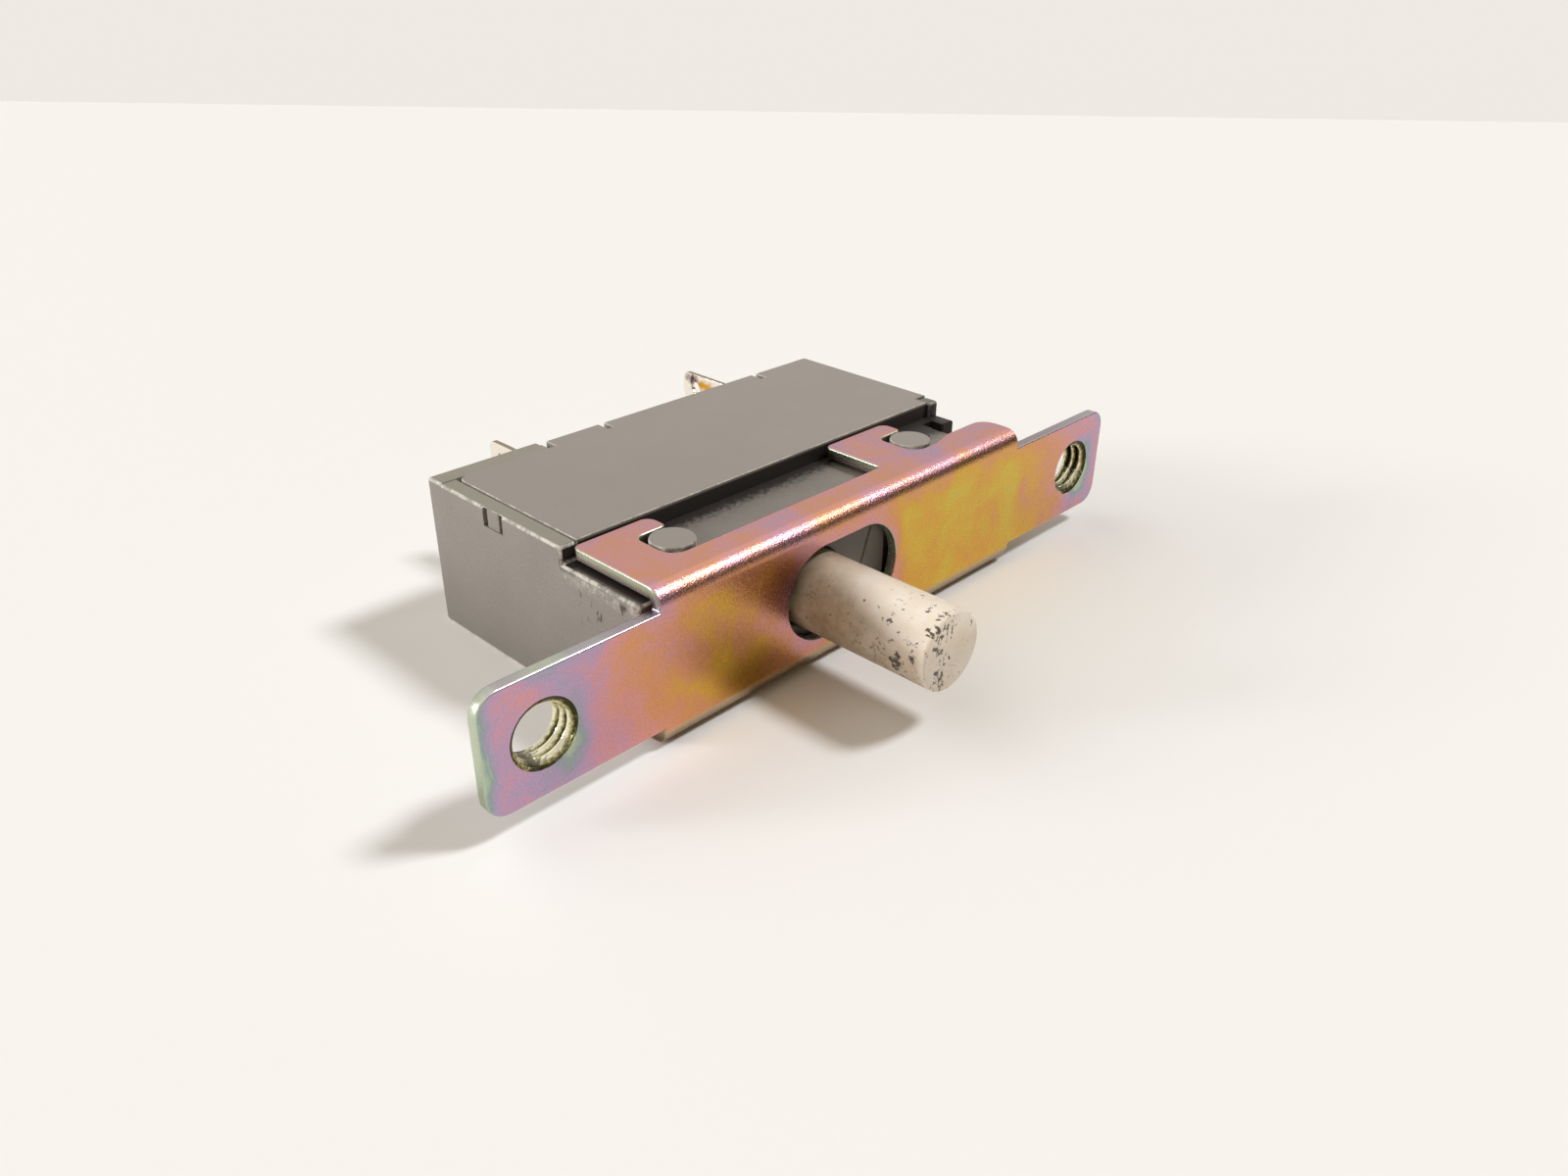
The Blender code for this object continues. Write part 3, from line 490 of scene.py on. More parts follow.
def open_grain(tree, spot, off_middle, colour):
    """Make the folds duller and their grain coarser.  Returns the colour and the relief."""
    bent = add(tree, "MapRange", off_middle, BEND_START, BEND_START + 0.4 * MM, 1.0, FOLD_GRAIN)
    flat = add(tree, "MapRange", off_middle, FLANGE_OUTSIDE - 0.2 * MM, FLANGE_OUTSIDE - 0.03 * MM,
               0.0, 1.0)
    coarser = add(tree, "Mix", flat, bent, 1.0)
    crazed = add(tree, "MapRange", coarser, 1.0, FOLD_GRAIN, 0.0, 0.33)
    colour = add(tree, "Mix", crazed, colour, linear(DULL_FOLD), data_type="RGBA")
    grit = add(tree, "TexNoise", spot, 1 / (0.13 * MM), 2.0, 0.6)
    grit = add(tree, "Math", grit, 0.5, operation="SUBTRACT")
    return colour, add(tree, "Math", grit, coarser, operation="MULTIPLY")


# %% Yellow chromate on zinc
def yellow_chromate(name, colours, plate_shift, flange_film, cloudiness, gloss_range, relief,
                    slot_fringe=0.26, fracture=0.0):
    """Zinc plate under a chromate film, in the colours that the film has on faces or on edges."""
    material, tree, shader, spot = new_finish(name, 1.0, 0.3)
    height, axes = height_and_axes(tree, spot)
    x = axes["X"]
    folded = add(tree, "MapRange", height, BEND_START + 0.4 * MM, BEND_START + 0.9 * MM, 0.0, 1.0)
    film = drained_film(tree, x, height, folded, plate_shift, flange_film)
    clouds = add(tree, "TexNoise", spot, 1 / (6.0 * MM), 3.0, 0.55, inputs={"Distortion": 0.5})
    patches = add(tree, "TexNoise", spot, 1 / (1.6 * MM), 3.0, 0.6)
    grains = add(tree, "TexNoise", spot, 1 / (0.2 * MM), 2.0, 0.6)
    for pattern, weight in ((clouds, cloudiness), (patches, 0.2), (grains, 0.02)):
        centred = add(tree, "Math", pattern, 0.5, operation="SUBTRACT")
        film = add(tree, "Math", centred, weight, film, operation="MULTIPLY_ADD")
    for extra in fringes(tree, x, height, slot_fringe):
        film = add(tree, "Math", film, extra, operation="ADD")
    colour = set_stops(add(tree, "ValToRGB", film), colours)
    # Painted dark reflection of the plunger and of its shadow, beside and under the plunger.
    colour = painted_reflection_on_front(tree, x, height, folded, colour)
    # Along the lower fold: the drip line, with a painted reflection of the table and painted shade.
    colour = drip_line_and_painted_light(tree, height, colour)
    off_middle = add(tree, "Math", height, operation="ABSOLUTE")
    colour = torn_middle(tree, off_middle, folded, patches, fracture, colour)
    colour, grain = open_grain(tree, spot, off_middle, colour)
    gloss = add(tree, "MapRange", grains, 0.3, 0.7, *gloss_range)
    finish_with(tree, shader, colour, gloss, grain, relief)
    return material


rolled_face = yellow_chromate("yellow_chromate_on_zinc", FILM_COLOURS, plate_shift=0.0,
                              flange_film=0.59, cloudiness=0.75, gloss_range=(0.2, 0.32),
                              relief=0.013 * MM)
sheared_edge = yellow_chromate("yellow_chromate_on_sheared_edge", EDGE_COLOURS, plate_shift=-0.2,
                               flange_film=0.75, cloudiness=0.4, gloss_range=(0.22, 0.36),
                               relief=0.006 * MM, slot_fringe=0.65, fracture=0.8)
print("bracket finishes:", rolled_face.name, sheared_edge.name)

# %% The thread: crests lighter as worn metal and painted highlight, grooves darker as olive film and painted shade
CREST = 2.12 * MM
GROOVE = 2.46 * MM
CHATTER = 0.32 * MM
cut_thread, tree, shader, spot = new_finish("yellow_chromate_on_thread", 1.0, 0.2)
height, axes = height_and_axes(tree, spot)
reach = add(tree, "Math", axes["X"], operation="ABSOLUTE")
past_hole = add(tree, "Math", reach, HOLE_X, operation="SUBTRACT")
across = add(tree, "CombineXYZ", past_hole, height, 0.0)
radius = add(tree, "VectorMath", across, operation="LENGTH")
# Lighter at the crests, as worn metal and painted highlight, and darker in the grooves, as olive film and
# painted shade.
depth = add(tree, "MapRange", radius, CREST, GROOVE, 0.0, 1.0)
chatter = add(tree, "TexNoise", spot, 1 / CHATTER, 3.0, 0.6)
film = add(tree, "MapRange", chatter, 0.3, 0.7, -0.3, 0.3)
film = add(tree, "Math", depth, film, operation="ADD")
# Painted highlight: the lower part of the hole is drawn brighter.
painted_bottom_highlight = add(tree, "MapRange", height, -2.2 * MM, 0.8 * MM, -0.45, 0.2)
film = add(tree, "Math", film, painted_bottom_highlight, operation="ADD")
olive_film_and_painted_light = set_stops(add(tree, "ValToRGB", film), ((0.05, "#f1ecd2"), (0.35, "#b9b07e"), (0.9, "#3c3a22")))
gloss = add(tree, "MapRange", chatter, 0.3, 0.7, 0.08, 0.2)
finish_with(tree, shader, olive_film_and_painted_light, gloss, chatter, 0.03 * MM)
print("thread finish:", cut_thread.name)

# %% [markdown]
# ## Case and cover finish
#
# The case and the cover are moulded in a mineral-filled plastic, a dense warm grey with a fine
# matt texture, drawn 0.2 mm coarse so that it shows.  Handling lightens its edges.  Dirt together
# with painted shade darkens the places where nothing rubs and little light falls: against the step
# behind the nose, under the flanges' hooks, on the nose's face behind the bracket and round the
# corner post.  The lower part is painted darker as shade, and the whole is darker towards the
# lower left front.  The worn edges could be painted one by one.  Here every moulded edge is truly
# rounded, and on such boxy pieces only a rounded edge leans away from all three axes, so the
# surface's own normal finds the edges and the wear follows them all.  The dirt and painted shade
# follow from how near a point lies to the step, the left flange and the corner post.  The end
# that goes into the machine first is chafed lighter and has black scuffs.

# %% Two close greys, and the wear of the edges
def moulded_tone(tree, spot, height, mottle, dark, light, top_tint):
    """The plastic's own colour: two close greys, with slow changes of tone across the switch and painted
    shade towards the bottom.
    """
    blotch = add(tree, "TexNoise", spot, 1 / (5.0 * MM), 4.0, 0.6)
    colour = set_stops(add(tree, "ValToRGB", mottle), ((0.32, dark), (0.68, light)))
    tone = add(tree, "MapRange", blotch, 0.3, 0.7, 0.94, 1.06)
    # Darker towards the lower left front of the switch.
    lean = add(tree, "VectorMath", spot, (1.0, 0.45, 0.9), operation="DOT_PRODUCT")
    darker_to_lower_left_front = add(tree, "MapRange", lean, -22.0 * MM, 22.0 * MM, 0.86, 1.04)
    # Painted shade: darker towards the bottom of the switch.
    painted_shade_low = add(tree, "MapRange", height, -7.0 * MM, 1.0 * MM, 0.8, 1.0)
    for share in (tone, darker_to_lower_left_front, painted_shade_low):
        colour = add(tree, "Mix", 1.0, colour, share, data_type="RGBA", blend_type="MULTIPLY")
    on_top = add(tree, "MapRange", height, CASE_HALF - 0.4 * MM, CASE_HALF - 0.2 * MM, 0.0, 0.6)
    return add(tree, "Mix", on_top, colour, linear(top_tint), data_type="RGBA")


def edge_wear(tree, rub):
    """1 where a rounded edge leans away from all three axes, broken up by how it was rubbed."""
    faces_along = add(tree, "TexCoord").outputs["Normal"]
    faces_along = add(tree, "VectorMath", faces_along, operation="ABSOLUTE")
    sides = add(tree, "SeparateXYZ", faces_along).outputs
    squarest = add(tree, "Math", sides["X"], sides["Y"], operation="MAXIMUM")
    squarest = add(tree, "Math", squarest, sides["Z"], operation="MAXIMUM")
    edge = add(tree, "MapRange", squarest, 0.985, 0.9, 0.0, 1.0)
    rubbed = add(tree, "MapRange", rub, 0.42, 0.58, 0.15, 1.0)
    return add(tree, "Math", edge, rubbed, operation="MULTIPLY")


# %% Chafing and scuffs of the end that goes into the machine first
SCUFF = "#2e2722"


def chafed(tree, spot, x, height, before, rub, colour, worn):
    """Add a lighter chafed band along the nose's left edge and black scuffs beside it."""
    at_left = add(tree, "MapRange", x, CASE_LEFT + 0.5 * MM, CASE_LEFT + 0.2 * MM, 0.0, 1.0)
    on_nose = add(tree, "MapRange", before, -0.6 * MM, 0.6 * MM, 0.0, 1.0)
    on_nose = add(tree, "Math", on_nose, at_left, operation="MULTIPLY")
    chafe = add(tree, "MapRange", height, NOSE_HALF - 1.4 * MM, NOSE_HALF - 0.2 * MM, 0.0, 0.8)
    broken = add(tree, "MapRange", rub, 0.45, 0.62, 0.0, 1.0)
    for limit in (broken, on_nose):
        chafe = add(tree, "Math", chafe, limit, operation="MULTIPLY")
    colour = add(tree, "Mix", chafe, colour, linear(worn), data_type="RGBA")
    stretch = add(tree, "Mapping", spot, inputs={"Scale": (1.0, 1.0, 0.35),
                                                 "Rotation": (math.radians(24), 0.0, 0.0)})
    strokes = add(tree, "TexNoise", stretch, 1 / (0.42 * MM), 4.0, 0.7)
    groups = add(tree, "TexNoise", spot, 1 / (1.9 * MM), 1.0, 0.5)
    strokes = add(tree, "Math", groups, 0.5, strokes, operation="MULTIPLY_ADD")
    scuffed = add(tree, "MapRange", strokes, 0.84, 0.89, 0.0, 0.85)
    scuff_low = add(tree, "MapRange", height, 0.8 * MM, 2.0 * MM, 0.0, 1.0)
    scuff_high = add(tree, "MapRange", height, NOSE_HALF - 0.3 * MM, NOSE_HALF - 0.7 * MM, 0.0, 1.0)
    behind = add(tree, "MapRange", before, 0.8 * MM, 2.4 * MM, 0.0, 1.0)
    for limit in (on_nose, scuff_low, scuff_high, behind):
        scuffed = add(tree, "Math", scuffed, limit, operation="MULTIPLY")
    return add(tree, "Mix", scuffed, colour, linear(SCUFF), data_type="RGBA")


# %% Dirt and painted shade on the nose, in front of the step
def nose_dirt_and_shade(tree, spot, x, before, off_middle, in_front, above):
    """Dirt and painted shade that thicken towards the step, with clean tops on the pegs and on the case."""
    deeper = add(tree, "MapRange", x, 11.0 * MM, 15.0 * MM, 0.0, 1.9 * MM)
    to_step = add(tree, "Math", before, deeper, operation="SUBTRACT")
    near = add(tree, "MapRange", to_step, 0.2 * MM, 2.6 * MM, 1.4, 0.0)
    below = add(tree, "MapRange", off_middle, CASE_HALF - 0.32 * MM, CASE_HALF - 0.12 * MM, 1.0, 0.0)
    flecks = add(tree, "TexNoise", spot, 1 / (0.5 * MM), 5.0, 0.75)
    fleck = add(tree, "MapRange", flecks, 0.35, 0.65, -0.35, 0.35)
    dirt_and_shade = add(tree, "Math", near, fleck, operation="ADD", use_clamp=True)
    # Over the ledge in front of the step: dirt and painted shade, fading away from the step.
    ledge_darkening = add(tree, "MapRange", before, 2.0 * MM, 7.5 * MM, 0.34, 0.18)
    peg_side = add(tree, "MapRange", off_middle, FLANGE_OUTSIDE - 0.05 * MM,
                   FLANGE_OUTSIDE + 0.03 * MM, 0.7, 0.0)
    off_step = add(tree, "MapRange", before, 0.3 * MM, 0.6 * MM, 0.0, 1.0)
    off_nose = add(tree, "MapRange", off_middle, NOSE_HALF + 0.05 * MM, NOSE_HALF + 0.15 * MM,
                   0.0, 1.0)
    for limit in (off_step, off_nose):
        peg_side = add(tree, "Math", peg_side, limit, operation="MULTIPLY")
    for more in (ledge_darkening, peg_side):
        dirt_and_shade = add(tree, "Math", dirt_and_shade, more, operation="MAXIMUM")
    for limit in (in_front, below, above):
        dirt_and_shade = add(tree, "Math", dirt_and_shade, limit, operation="MULTIPLY")
    return dirt_and_shade


# %% All the dirt and painted shade, and the places that stay clean
def dirt_and_painted_shade(tree, spot, x, before, height, in_corner):
    """Dirt and painted shade on the nose, beside the left flange, on the nose's face and round the corner
    post.
    """
    off_middle = add(tree, "Math", height, operation="ABSOLUTE")
    corner = add(tree, "Math", in_corner, 1.3 * MM, operation="MULTIPLY")
    forward = add(tree, "Math", before, corner, operation="ADD")
    in_front = add(tree, "MapRange", forward, -0.3 * MM, 0.0, 0.0, 1.0)
    lower = add(tree, "MapRange", x, 17.5 * MM, 18.5 * MM, 0.0, 2.4 * MM)
    risen = add(tree, "Math", off_middle, lower, operation="ADD")
    above = add(tree, "MapRange", risen, NOSE_HALF - 0.5 * MM, NOSE_HALF - 0.1 * MM, 0.0, 1.0)
    dirt_and_shade = nose_dirt_and_shade(tree, spot, x, before, off_middle, in_front, above)
    # Beside the left flange, under its hook: dirt and painted shade.
    under_flange = add(tree, "MapRange", x, FLANGE_LEFT - 0.75 * MM, FLANGE_LEFT - 0.2 * MM,
                       0.0, 0.95)
    by_flange = add(tree, "MapRange", x, FLANGE_LEFT + 0.6 * MM, FLANGE_LEFT + 1.2 * MM, 1.0, 0.0)
    for limit in (above, by_flange, in_front):
        under_flange = add(tree, "Math", under_flange, limit, operation="MULTIPLY")
    # The nose's face behind the bracket's plate: painted shade.
    nose_face = add(tree, "MapRange", before, STEP - NOSE_FRONT - 0.12 * MM,
                    STEP - NOSE_FRONT - 0.04 * MM, 0.0, 0.5)
    # Round the corner post: dirt and painted shade.
    post_dirt_and_shade = add(tree, "MapRange", before, -1.5 * MM, -1.1 * MM, 0.0, 0.45)
    post_dirt_and_shade = add(tree, "Math", post_dirt_and_shade, in_corner, operation="MULTIPLY")
    for more in (under_flange, nose_face, post_dirt_and_shade):
        dirt_and_shade = add(tree, "Math", dirt_and_shade, more, operation="MAXIMUM")
    fades_out = add(tree, "MapRange", x, CASE_RIGHT - 0.06 * MM, CASE_RIGHT - 0.01 * MM, 1.0, 0.12)
    return add(tree, "Math", dirt_and_shade, fades_out, operation="MULTIPLY")


# %% Moulded grey plastic with worn edges, settled dirt and painted shade
# Colour of the dirt and of the painted shade.
DIRT_AND_SHADE = "#1f1815"


def moulded_grey(name, dark, light, worn, top_tint):
    """Matt moulded plastic in two close tones, with worn edges, dirt with painted shade and a tint on its
    top faces.
    """
    material, tree, shader, spot = new_finish(name, 0.0, 0.56)
    height, axes = height_and_axes(tree, spot)
    x = axes["X"]
    mottle = add(tree, "TexNoise", spot, 1 / (0.2 * MM), 3.0, 0.7)
    colour = moulded_tone(tree, spot, height, mottle, dark, light, top_tint)
    rub = add(tree, "TexNoise", spot, 1 / (0.9 * MM), 5.0, 0.8)
    before = add(tree, "Math", STEP, axes["Y"], operation="SUBTRACT")
    colour = chafed(tree, spot, x, height, before, rub, colour, worn)
    in_corner = add(tree, "MapRange", x, CASE_RIGHT - 1.6 * MM, CASE_RIGHT - 1.3 * MM, 0.0, 1.0)
    dirt_and_shade = dirt_and_painted_shade(tree, spot, x, before, height, in_corner)
    # Dirt and painted shade laid over the plastic.
    colour = add(tree, "Mix", dirt_and_shade, colour, linear(DIRT_AND_SHADE), data_type="RGBA")
    corner_keeps_dark = add(tree, "MapRange", in_corner, 0.0, 1.0, 1.0, 0.25)
    wear = add(tree, "Math", edge_wear(tree, rub), corner_keeps_dark, operation="MULTIPLY")
    colour = add(tree, "Mix", wear, colour, linear(worn), data_type="RGBA")
    gloss = add(tree, "MapRange", mottle, 0.3, 0.7, 0.46, 0.6)
    finish_with(tree, shader, colour, gloss, mottle, 0.014 * MM)
    return material


WORN_EDGE = "#ddd6ca"
case_grey = moulded_grey("mineral_filled_plastic_case", "#8b837b", "#9c948b", WORN_EDGE, "#8b8677")
cover_grey = moulded_grey("mineral_filled_plastic_cover", "#8a8279", "#9b938a", WORN_EDGE, "#948b84")
print("plastic finishes:", case_grey.name, cover_grey.name)

# %% [markdown]
# ## Plunger finish
#
# The plunger is acetal, turned and polished by sliding.  It is an ivory white that lets a little
# light in, so its rim looks clear.  Grease and brass dust from the machine's cam stay on its tip
# as black specks and streaks, denser there than along its sides.  Its lower side is painted brown
# with shade and with the shadow of the bracket, more and more towards the bracket.

# %% The painted brown shadow and shade on the lower side
SHADOW_BROWN = "#836848"
SHADOW_EDGE_SLOPE = 0.23


def painted_shadow_on_plunger(tree, spot, from_tip, height, ivory):
    """Lay painted shadow and shade over the lower side, rising towards the bracket and fading at the tip.
    """
    cloud = add(tree, "TexNoise", spot, 1 / (1.8 * MM), 4.0, 0.7)
    top = add(tree, "Math", from_tip, SHADOW_EDGE_SLOPE, 1.0 * MM, operation="MULTIPLY_ADD")
    under_top = add(tree, "Math", top, height, operation="SUBTRACT")
    most = add(tree, "MapRange", from_tip, 1.5 * MM, 8.0 * MM, 0.55, 0.85)
    low = add(tree, "MapRange", under_top, -0.9 * MM, 0.9 * MM, 0.0, most)
    part = add(tree, "MapRange", cloud, 0.3, 0.7, 0.8, 1.1)
    painted_shadow = add(tree, "Math", low, part, operation="MULTIPLY", use_clamp=True)
    fades_out = add(tree, "MapRange", from_tip, 0.1 * MM, 0.8 * MM, 0.45, 1.0)
    painted_shadow = add(tree, "Math", painted_shadow, fades_out, operation="MULTIPLY")
    return add(tree, "Mix", painted_shadow, ivory, linear(SHADOW_BROWN), data_type="RGBA")


# %% Black specks, in groups, and finer brown dust
SPECK = "#38281f"
DUST = "#563b2e"
BAND_MIDDLE = -1.1 * MM
# Middle of the densest cluster: across, behind the tip and up from the plunger's axis.
CLUSTER = (-2.7 * MM, 2.6 * MM, -0.9 * MM)


def specks_and_dust(tree, spot, across, from_tip, height, colour):
    """Lay specks over the tip's face and the side near it, and dust over the rest."""
    off_band = add(tree, "Math", across, BAND_MIDDLE, operation="SUBTRACT")
    off_band = add(tree, "Math", off_band, operation="ABSOLUTE")
    band = add(tree, "MapRange", off_band, 0.2 * MM, 1.7 * MM, 0.12, -0.02)
    on_face = add(tree, "MapRange", from_tip, 0.3 * MM, 0.9 * MM, 1.0, 0.0)
    band = add(tree, "Math", band, on_face, operation="MULTIPLY")
    scatter = add(tree, "MapRange", from_tip, 0.5 * MM, 7.0 * MM, 0.05, -0.05)
    groups = add(tree, "TexNoise", spot, 1 / (1.9 * MM), 2.0, 0.5)
    grouped = add(tree, "MapRange", groups, 0.35, 0.65, -0.08, 0.09)
    stretch = add(tree, "Mapping", spot, inputs={"Scale": (1.1, 0.6, 0.75)})
    specks = add(tree, "TexNoise", stretch, 1 / (0.42 * MM), 3.0, 0.65)
    place = add(tree, "CombineXYZ", across, from_tip, height)
    away = add(tree, "VectorMath", place, CLUSTER, operation="DISTANCE")
    cluster = add(tree, "MapRange", away, 0.5 * MM, 2.6 * MM, 0.1, 0.0)
    for extra in (band, scatter, grouped, cluster):
        specks = add(tree, "Math", specks, extra, operation="ADD")
    speck = add(tree, "MapRange", specks, 0.685, 0.735, 0.0, 0.92)
    colour = add(tree, "Mix", speck, colour, linear(SPECK), data_type="RGBA")
    dust = add(tree, "TexNoise", spot, 1 / (0.24 * MM), 2.0, 0.6)
    dust_group = add(tree, "MapRange", groups, 0.35, 0.65, 0.1, -0.08)
    dust_low = add(tree, "MapRange", height, -1.2 * MM, 2.6 * MM, 0.03, -0.06)
    off_tip = add(tree, "MapRange", from_tip, 0.1 * MM, 0.5 * MM, -0.06, 0.0)
    for extra in (dust_group, dust_low, off_tip):
        dust = add(tree, "Math", dust, extra, operation="ADD")
    dust = add(tree, "MapRange", dust, 0.66, 0.7, 0.0, 0.7)
    return add(tree, "Mix", dust, colour, linear(DUST), data_type="RGBA")


# %% Ivory acetal
ivory_acetal, tree, shader, spot = new_finish("ivory_acetal", 0.0, 0.34)
height, axes = height_and_axes(tree, spot)
from_tip = add(tree, "Math", axes["Y"], plunger_low.y, operation="SUBTRACT")
across = add(tree, "Math", axes["X"], PLUNGER_X, operation="SUBTRACT")
cloud = add(tree, "TexNoise", spot, 1 / (2.5 * MM), 3.0, 0.6)
ivory = set_stops(add(tree, "ValToRGB", cloud), ((0.3, "#ecdcc6"), (0.7, "#f6ede0")))
# Painted shadow of the bracket and painted shade on the plunger's lower side.
colour = painted_shadow_on_plunger(tree, spot, from_tip, height, ivory)
colour = specks_and_dust(tree, spot, across, from_tip, height, colour)
gloss = add(tree, "MapRange", cloud, 0.3, 0.7, 0.42, 0.56)
fine = add(tree, "TexNoise", spot, 1 / (0.25 * MM), 3.0, 0.6)
finish_with(tree, shader, colour, gloss, fine, 0.004 * MM)
shader.inputs["Subsurface Weight"].default_value = 0.06
shader.inputs["Subsurface Radius"].default_value = (1.0, 0.7, 0.45)
shader.inputs["Subsurface Scale"].default_value = 0.5 * MM
print("plunger finish:", ivory_acetal.name)

# %% [markdown]
# ## Finishes of the small metal pieces
#
# The terminals are brass strip under a bright tin plate, duller and greyer on the sheared rims.
# On the right blade a receptacle has rubbed the tin to a gold patch, and soldering has left a
# brown tarnish by the hole.  The bridge is bare rolled brass, the springs and the clip are drawn
# and stamped spring steel, and the contacts are silver rivets with a grey tarnish.  One function
# makes these metals, because each is a base metal with a film in patches and lines from rolling
# or drawing, and a second one lays the two marks over the tin.  The lines are drawn coarser than
# a rolling mill leaves them, so that they show.

# %% Strip and wire metals
PATCH_SHIFT = (0.0, 0.0, 3.4 * MM)


def patched_metal(name, metal, film, bare, roughness, patch, lines):
    """A metal under a thin film.  bare is the share that shows, patch and lines are their sizes."""
    material, tree, shader, spot = new_finish(name, 1.0, roughness)
    moved = add(tree, "Mapping", spot, inputs={"Location": PATCH_SHIFT})
    cloud = add(tree, "TexNoise", moved, 1 / patch, 5.0, 0.65)
    shows = add(tree, "MapRange", cloud, 0.66 - bare * 0.4, 0.56 - bare * 0.4, 0.0, 1.0)
    colour = add(tree, "Mix", shows, linear(metal), linear(film), data_type="RGBA")
    stretch = add(tree, "Mapping", spot, inputs={"Scale": (1.0, 0.12, 1.0)})
    drawn = add(tree, "TexNoise", stretch, 1 / lines, 3.0, 0.6)
    gloss = add(tree, "MapRange", drawn, 0.3, 0.7, roughness - 0.07, roughness + 0.1)
    finish_with(tree, shader, colour, gloss, drawn, 0.004 * MM)
    return material


# Name, colours of the metal and of its film, share of bare metal, roughness, and mm of patches
# and lines.
METALS = (("tinned_brass", "#dcae45", "#f3ece1", -0.2, 0.2, 2.6, 0.3),
          ("sheared_brass_edge", "#9b8f78", "#aaa08e", 0.5, 0.45, 0.8, 0.2),
          ("rolled_brass", "#d8b266", "#c49a52", 0.5, 0.28, 1.8, 0.12),
          ("drawn_spring_steel", "#b4b2ae", "#8f8d8b", 0.5, 0.3, 0.9, 0.1),
          ("silver_rivet", "#e6e3dc", "#b9b4aa", 0.5, 0.25, 0.7, 0.1))
tinned_brass, sheared_brass, rolled_brass, spring_steel, contact_silver = [
    patched_metal(*look, patch * MM, lines * MM) for *look, patch, lines in METALS]
print("metals:", ", ".join(name for name, *look in METALS))

# %% The gold patch and the tarnish of the right blade
# The middle of each mark, its radii in x, y and z, and its colour.
MARKS = (((BLADE_XS[1], FRONT + 33.3 * MM, MID + 3.55 * MM), (1.0, 1.9, 0.62), "#d59a2e"),
         ((BLADE_XS[1], FRONT + 35.2 * MM, MID + 3.95 * MM), (1.0, 1.0, 0.62), "#5d3f42"))


def stained(material, marks):
    """Lay soft stains over a finish."""
    tree = material.node_tree
    base = tree.nodes["Principled BSDF"].inputs["Base Color"]
    spot = add(tree, "TexCoord").outputs["Object"]
    ragged = add(tree, "TexNoise", spot, 1 / (0.5 * MM), 3.0, 0.6)
    ragged = add(tree, "MapRange", ragged, 0.3, 0.7, -0.3, 0.3)
    colour = base.links[0].from_socket
    for place, radii, shade in marks:
        away = add(tree, "VectorMath", spot, place, operation="SUBTRACT")
        away = add(tree, "VectorMath", away, Vector(radii) * MM, operation="DIVIDE")
        away = add(tree, "VectorMath", away, operation="LENGTH")
        away = add(tree, "Math", away, ragged, operation="ADD")
        near = add(tree, "MapRange", away, 0.4, 1.2, 1.0, 0.0)
        colour = add(tree, "Mix", near, colour, linear(shade), data_type="RGBA").outputs[2]
    tree.links.new(colour, base)


stained(tinned_brass, MARKS)
print("marks on", tinned_brass.name + ":", len(MARKS))

# %% [markdown]
# ## The bracket
#
# The real bracket is blanked flat from 1 mm sheet, its holes are drawn out behind and tapped M5,
# and its two flanges are folded back to clamp the case.  Each flange has two hooked tabs that
# take the case's pegs like a bayonet.  It could be cut out of a solid block, but making it the
# way the press does is simpler and truer: draw the upper half of the flat blank, bend every point
# round the fold line, mirror it, and only then give the sheet its thickness.

# %% The flat blank, upper half
BEND_LENGTH = BEND_OUTSIDE * math.pi / 2
NOTCH_FRONT = 3.495 * MM
NOTCH_REAR = 7.505 * MM
RIGHT_END_REAR = 4.1 * MM
TAB_REAR = 9.6 * MM
HOOK_REACH = 3.0 * MM
TIP_ROUND = 0.95 * MM
HOOK_WALLS = (10.675 * MM, -16.275 * MM)
SECOND_TAB_LEFT = 6.075 * MM
SHOULDER_X = 15.9 * MM
SHOULDER_ROUND = 2.5 * MM
SHOULDER_FOOT_X = 13.4 * MM
SHOULDER_FOOT_ROUND = 1.5 * MM
MOUTH_ROUND = 1.3 * MM
THROAT_ROUND = 0.7 * MM
TAB_ROUND = 0.6 * MM
TAB_FOOT_ROUND = 0.3 * MM


def unfolded(depth):
    """Height on the flat blank of a flange point that ends up this far behind the front face."""
    return BEND_START + BEND_LENGTH + depth - BEND_OUTSIDE


strip_edge = unfolded(NOTCH_FRONT)
finger_edge = unfolded(NOTCH_REAR)
tab_edge = unfolded(TAB_REAR)
shoulder_edge = unfolded(RIGHT_END_REAR)
corners = [(BRACKET_HALF, 0.0, 0.0), (BRACKET_HALF, EAR_HALF, EAR_CORNER),
           (FLANGE_RIGHT, EAR_HALF, 0.0), (FLANGE_RIGHT, shoulder_edge, FLANGE_CORNER),
           (SHOULDER_X, shoulder_edge, SHOULDER_ROUND),
           (SHOULDER_FOOT_X, strip_edge, SHOULDER_FOOT_ROUND)]
for wall, left in zip(HOOK_WALLS, (SECOND_TAB_LEFT, FLANGE_LEFT)):
    tip = wall + HOOK_REACH
    corners += [(wall, strip_edge, MOUTH_ROUND), (wall, finger_edge, THROAT_ROUND),
                (tip, finger_edge, TIP_ROUND / 2), (tip, tab_edge, TIP_ROUND),
                (left, tab_edge, TAB_ROUND)]
    if left == SECOND_TAB_LEFT:
        corners.append((left, strip_edge, TAB_FOOT_ROUND))
corners += [(FLANGE_LEFT, EAR_HALF, 0.0), (-BRACKET_HALF, EAR_HALF, EAR_CORNER),
            (-BRACKET_HALF, 0.0, 0.0)]
outline = rounded(corners)
outline += arc(SLOT_LEFT_X, 0.0, SLOT_HALF, 180, 90, 24)
outline += arc(SLOT_RIGHT_X, 0.0, SLOT_HALF, 90, 0, 24)
print("blank outline:", len(outline), "points; flange runs to", round(tab_edge / MM, 2), "mm")

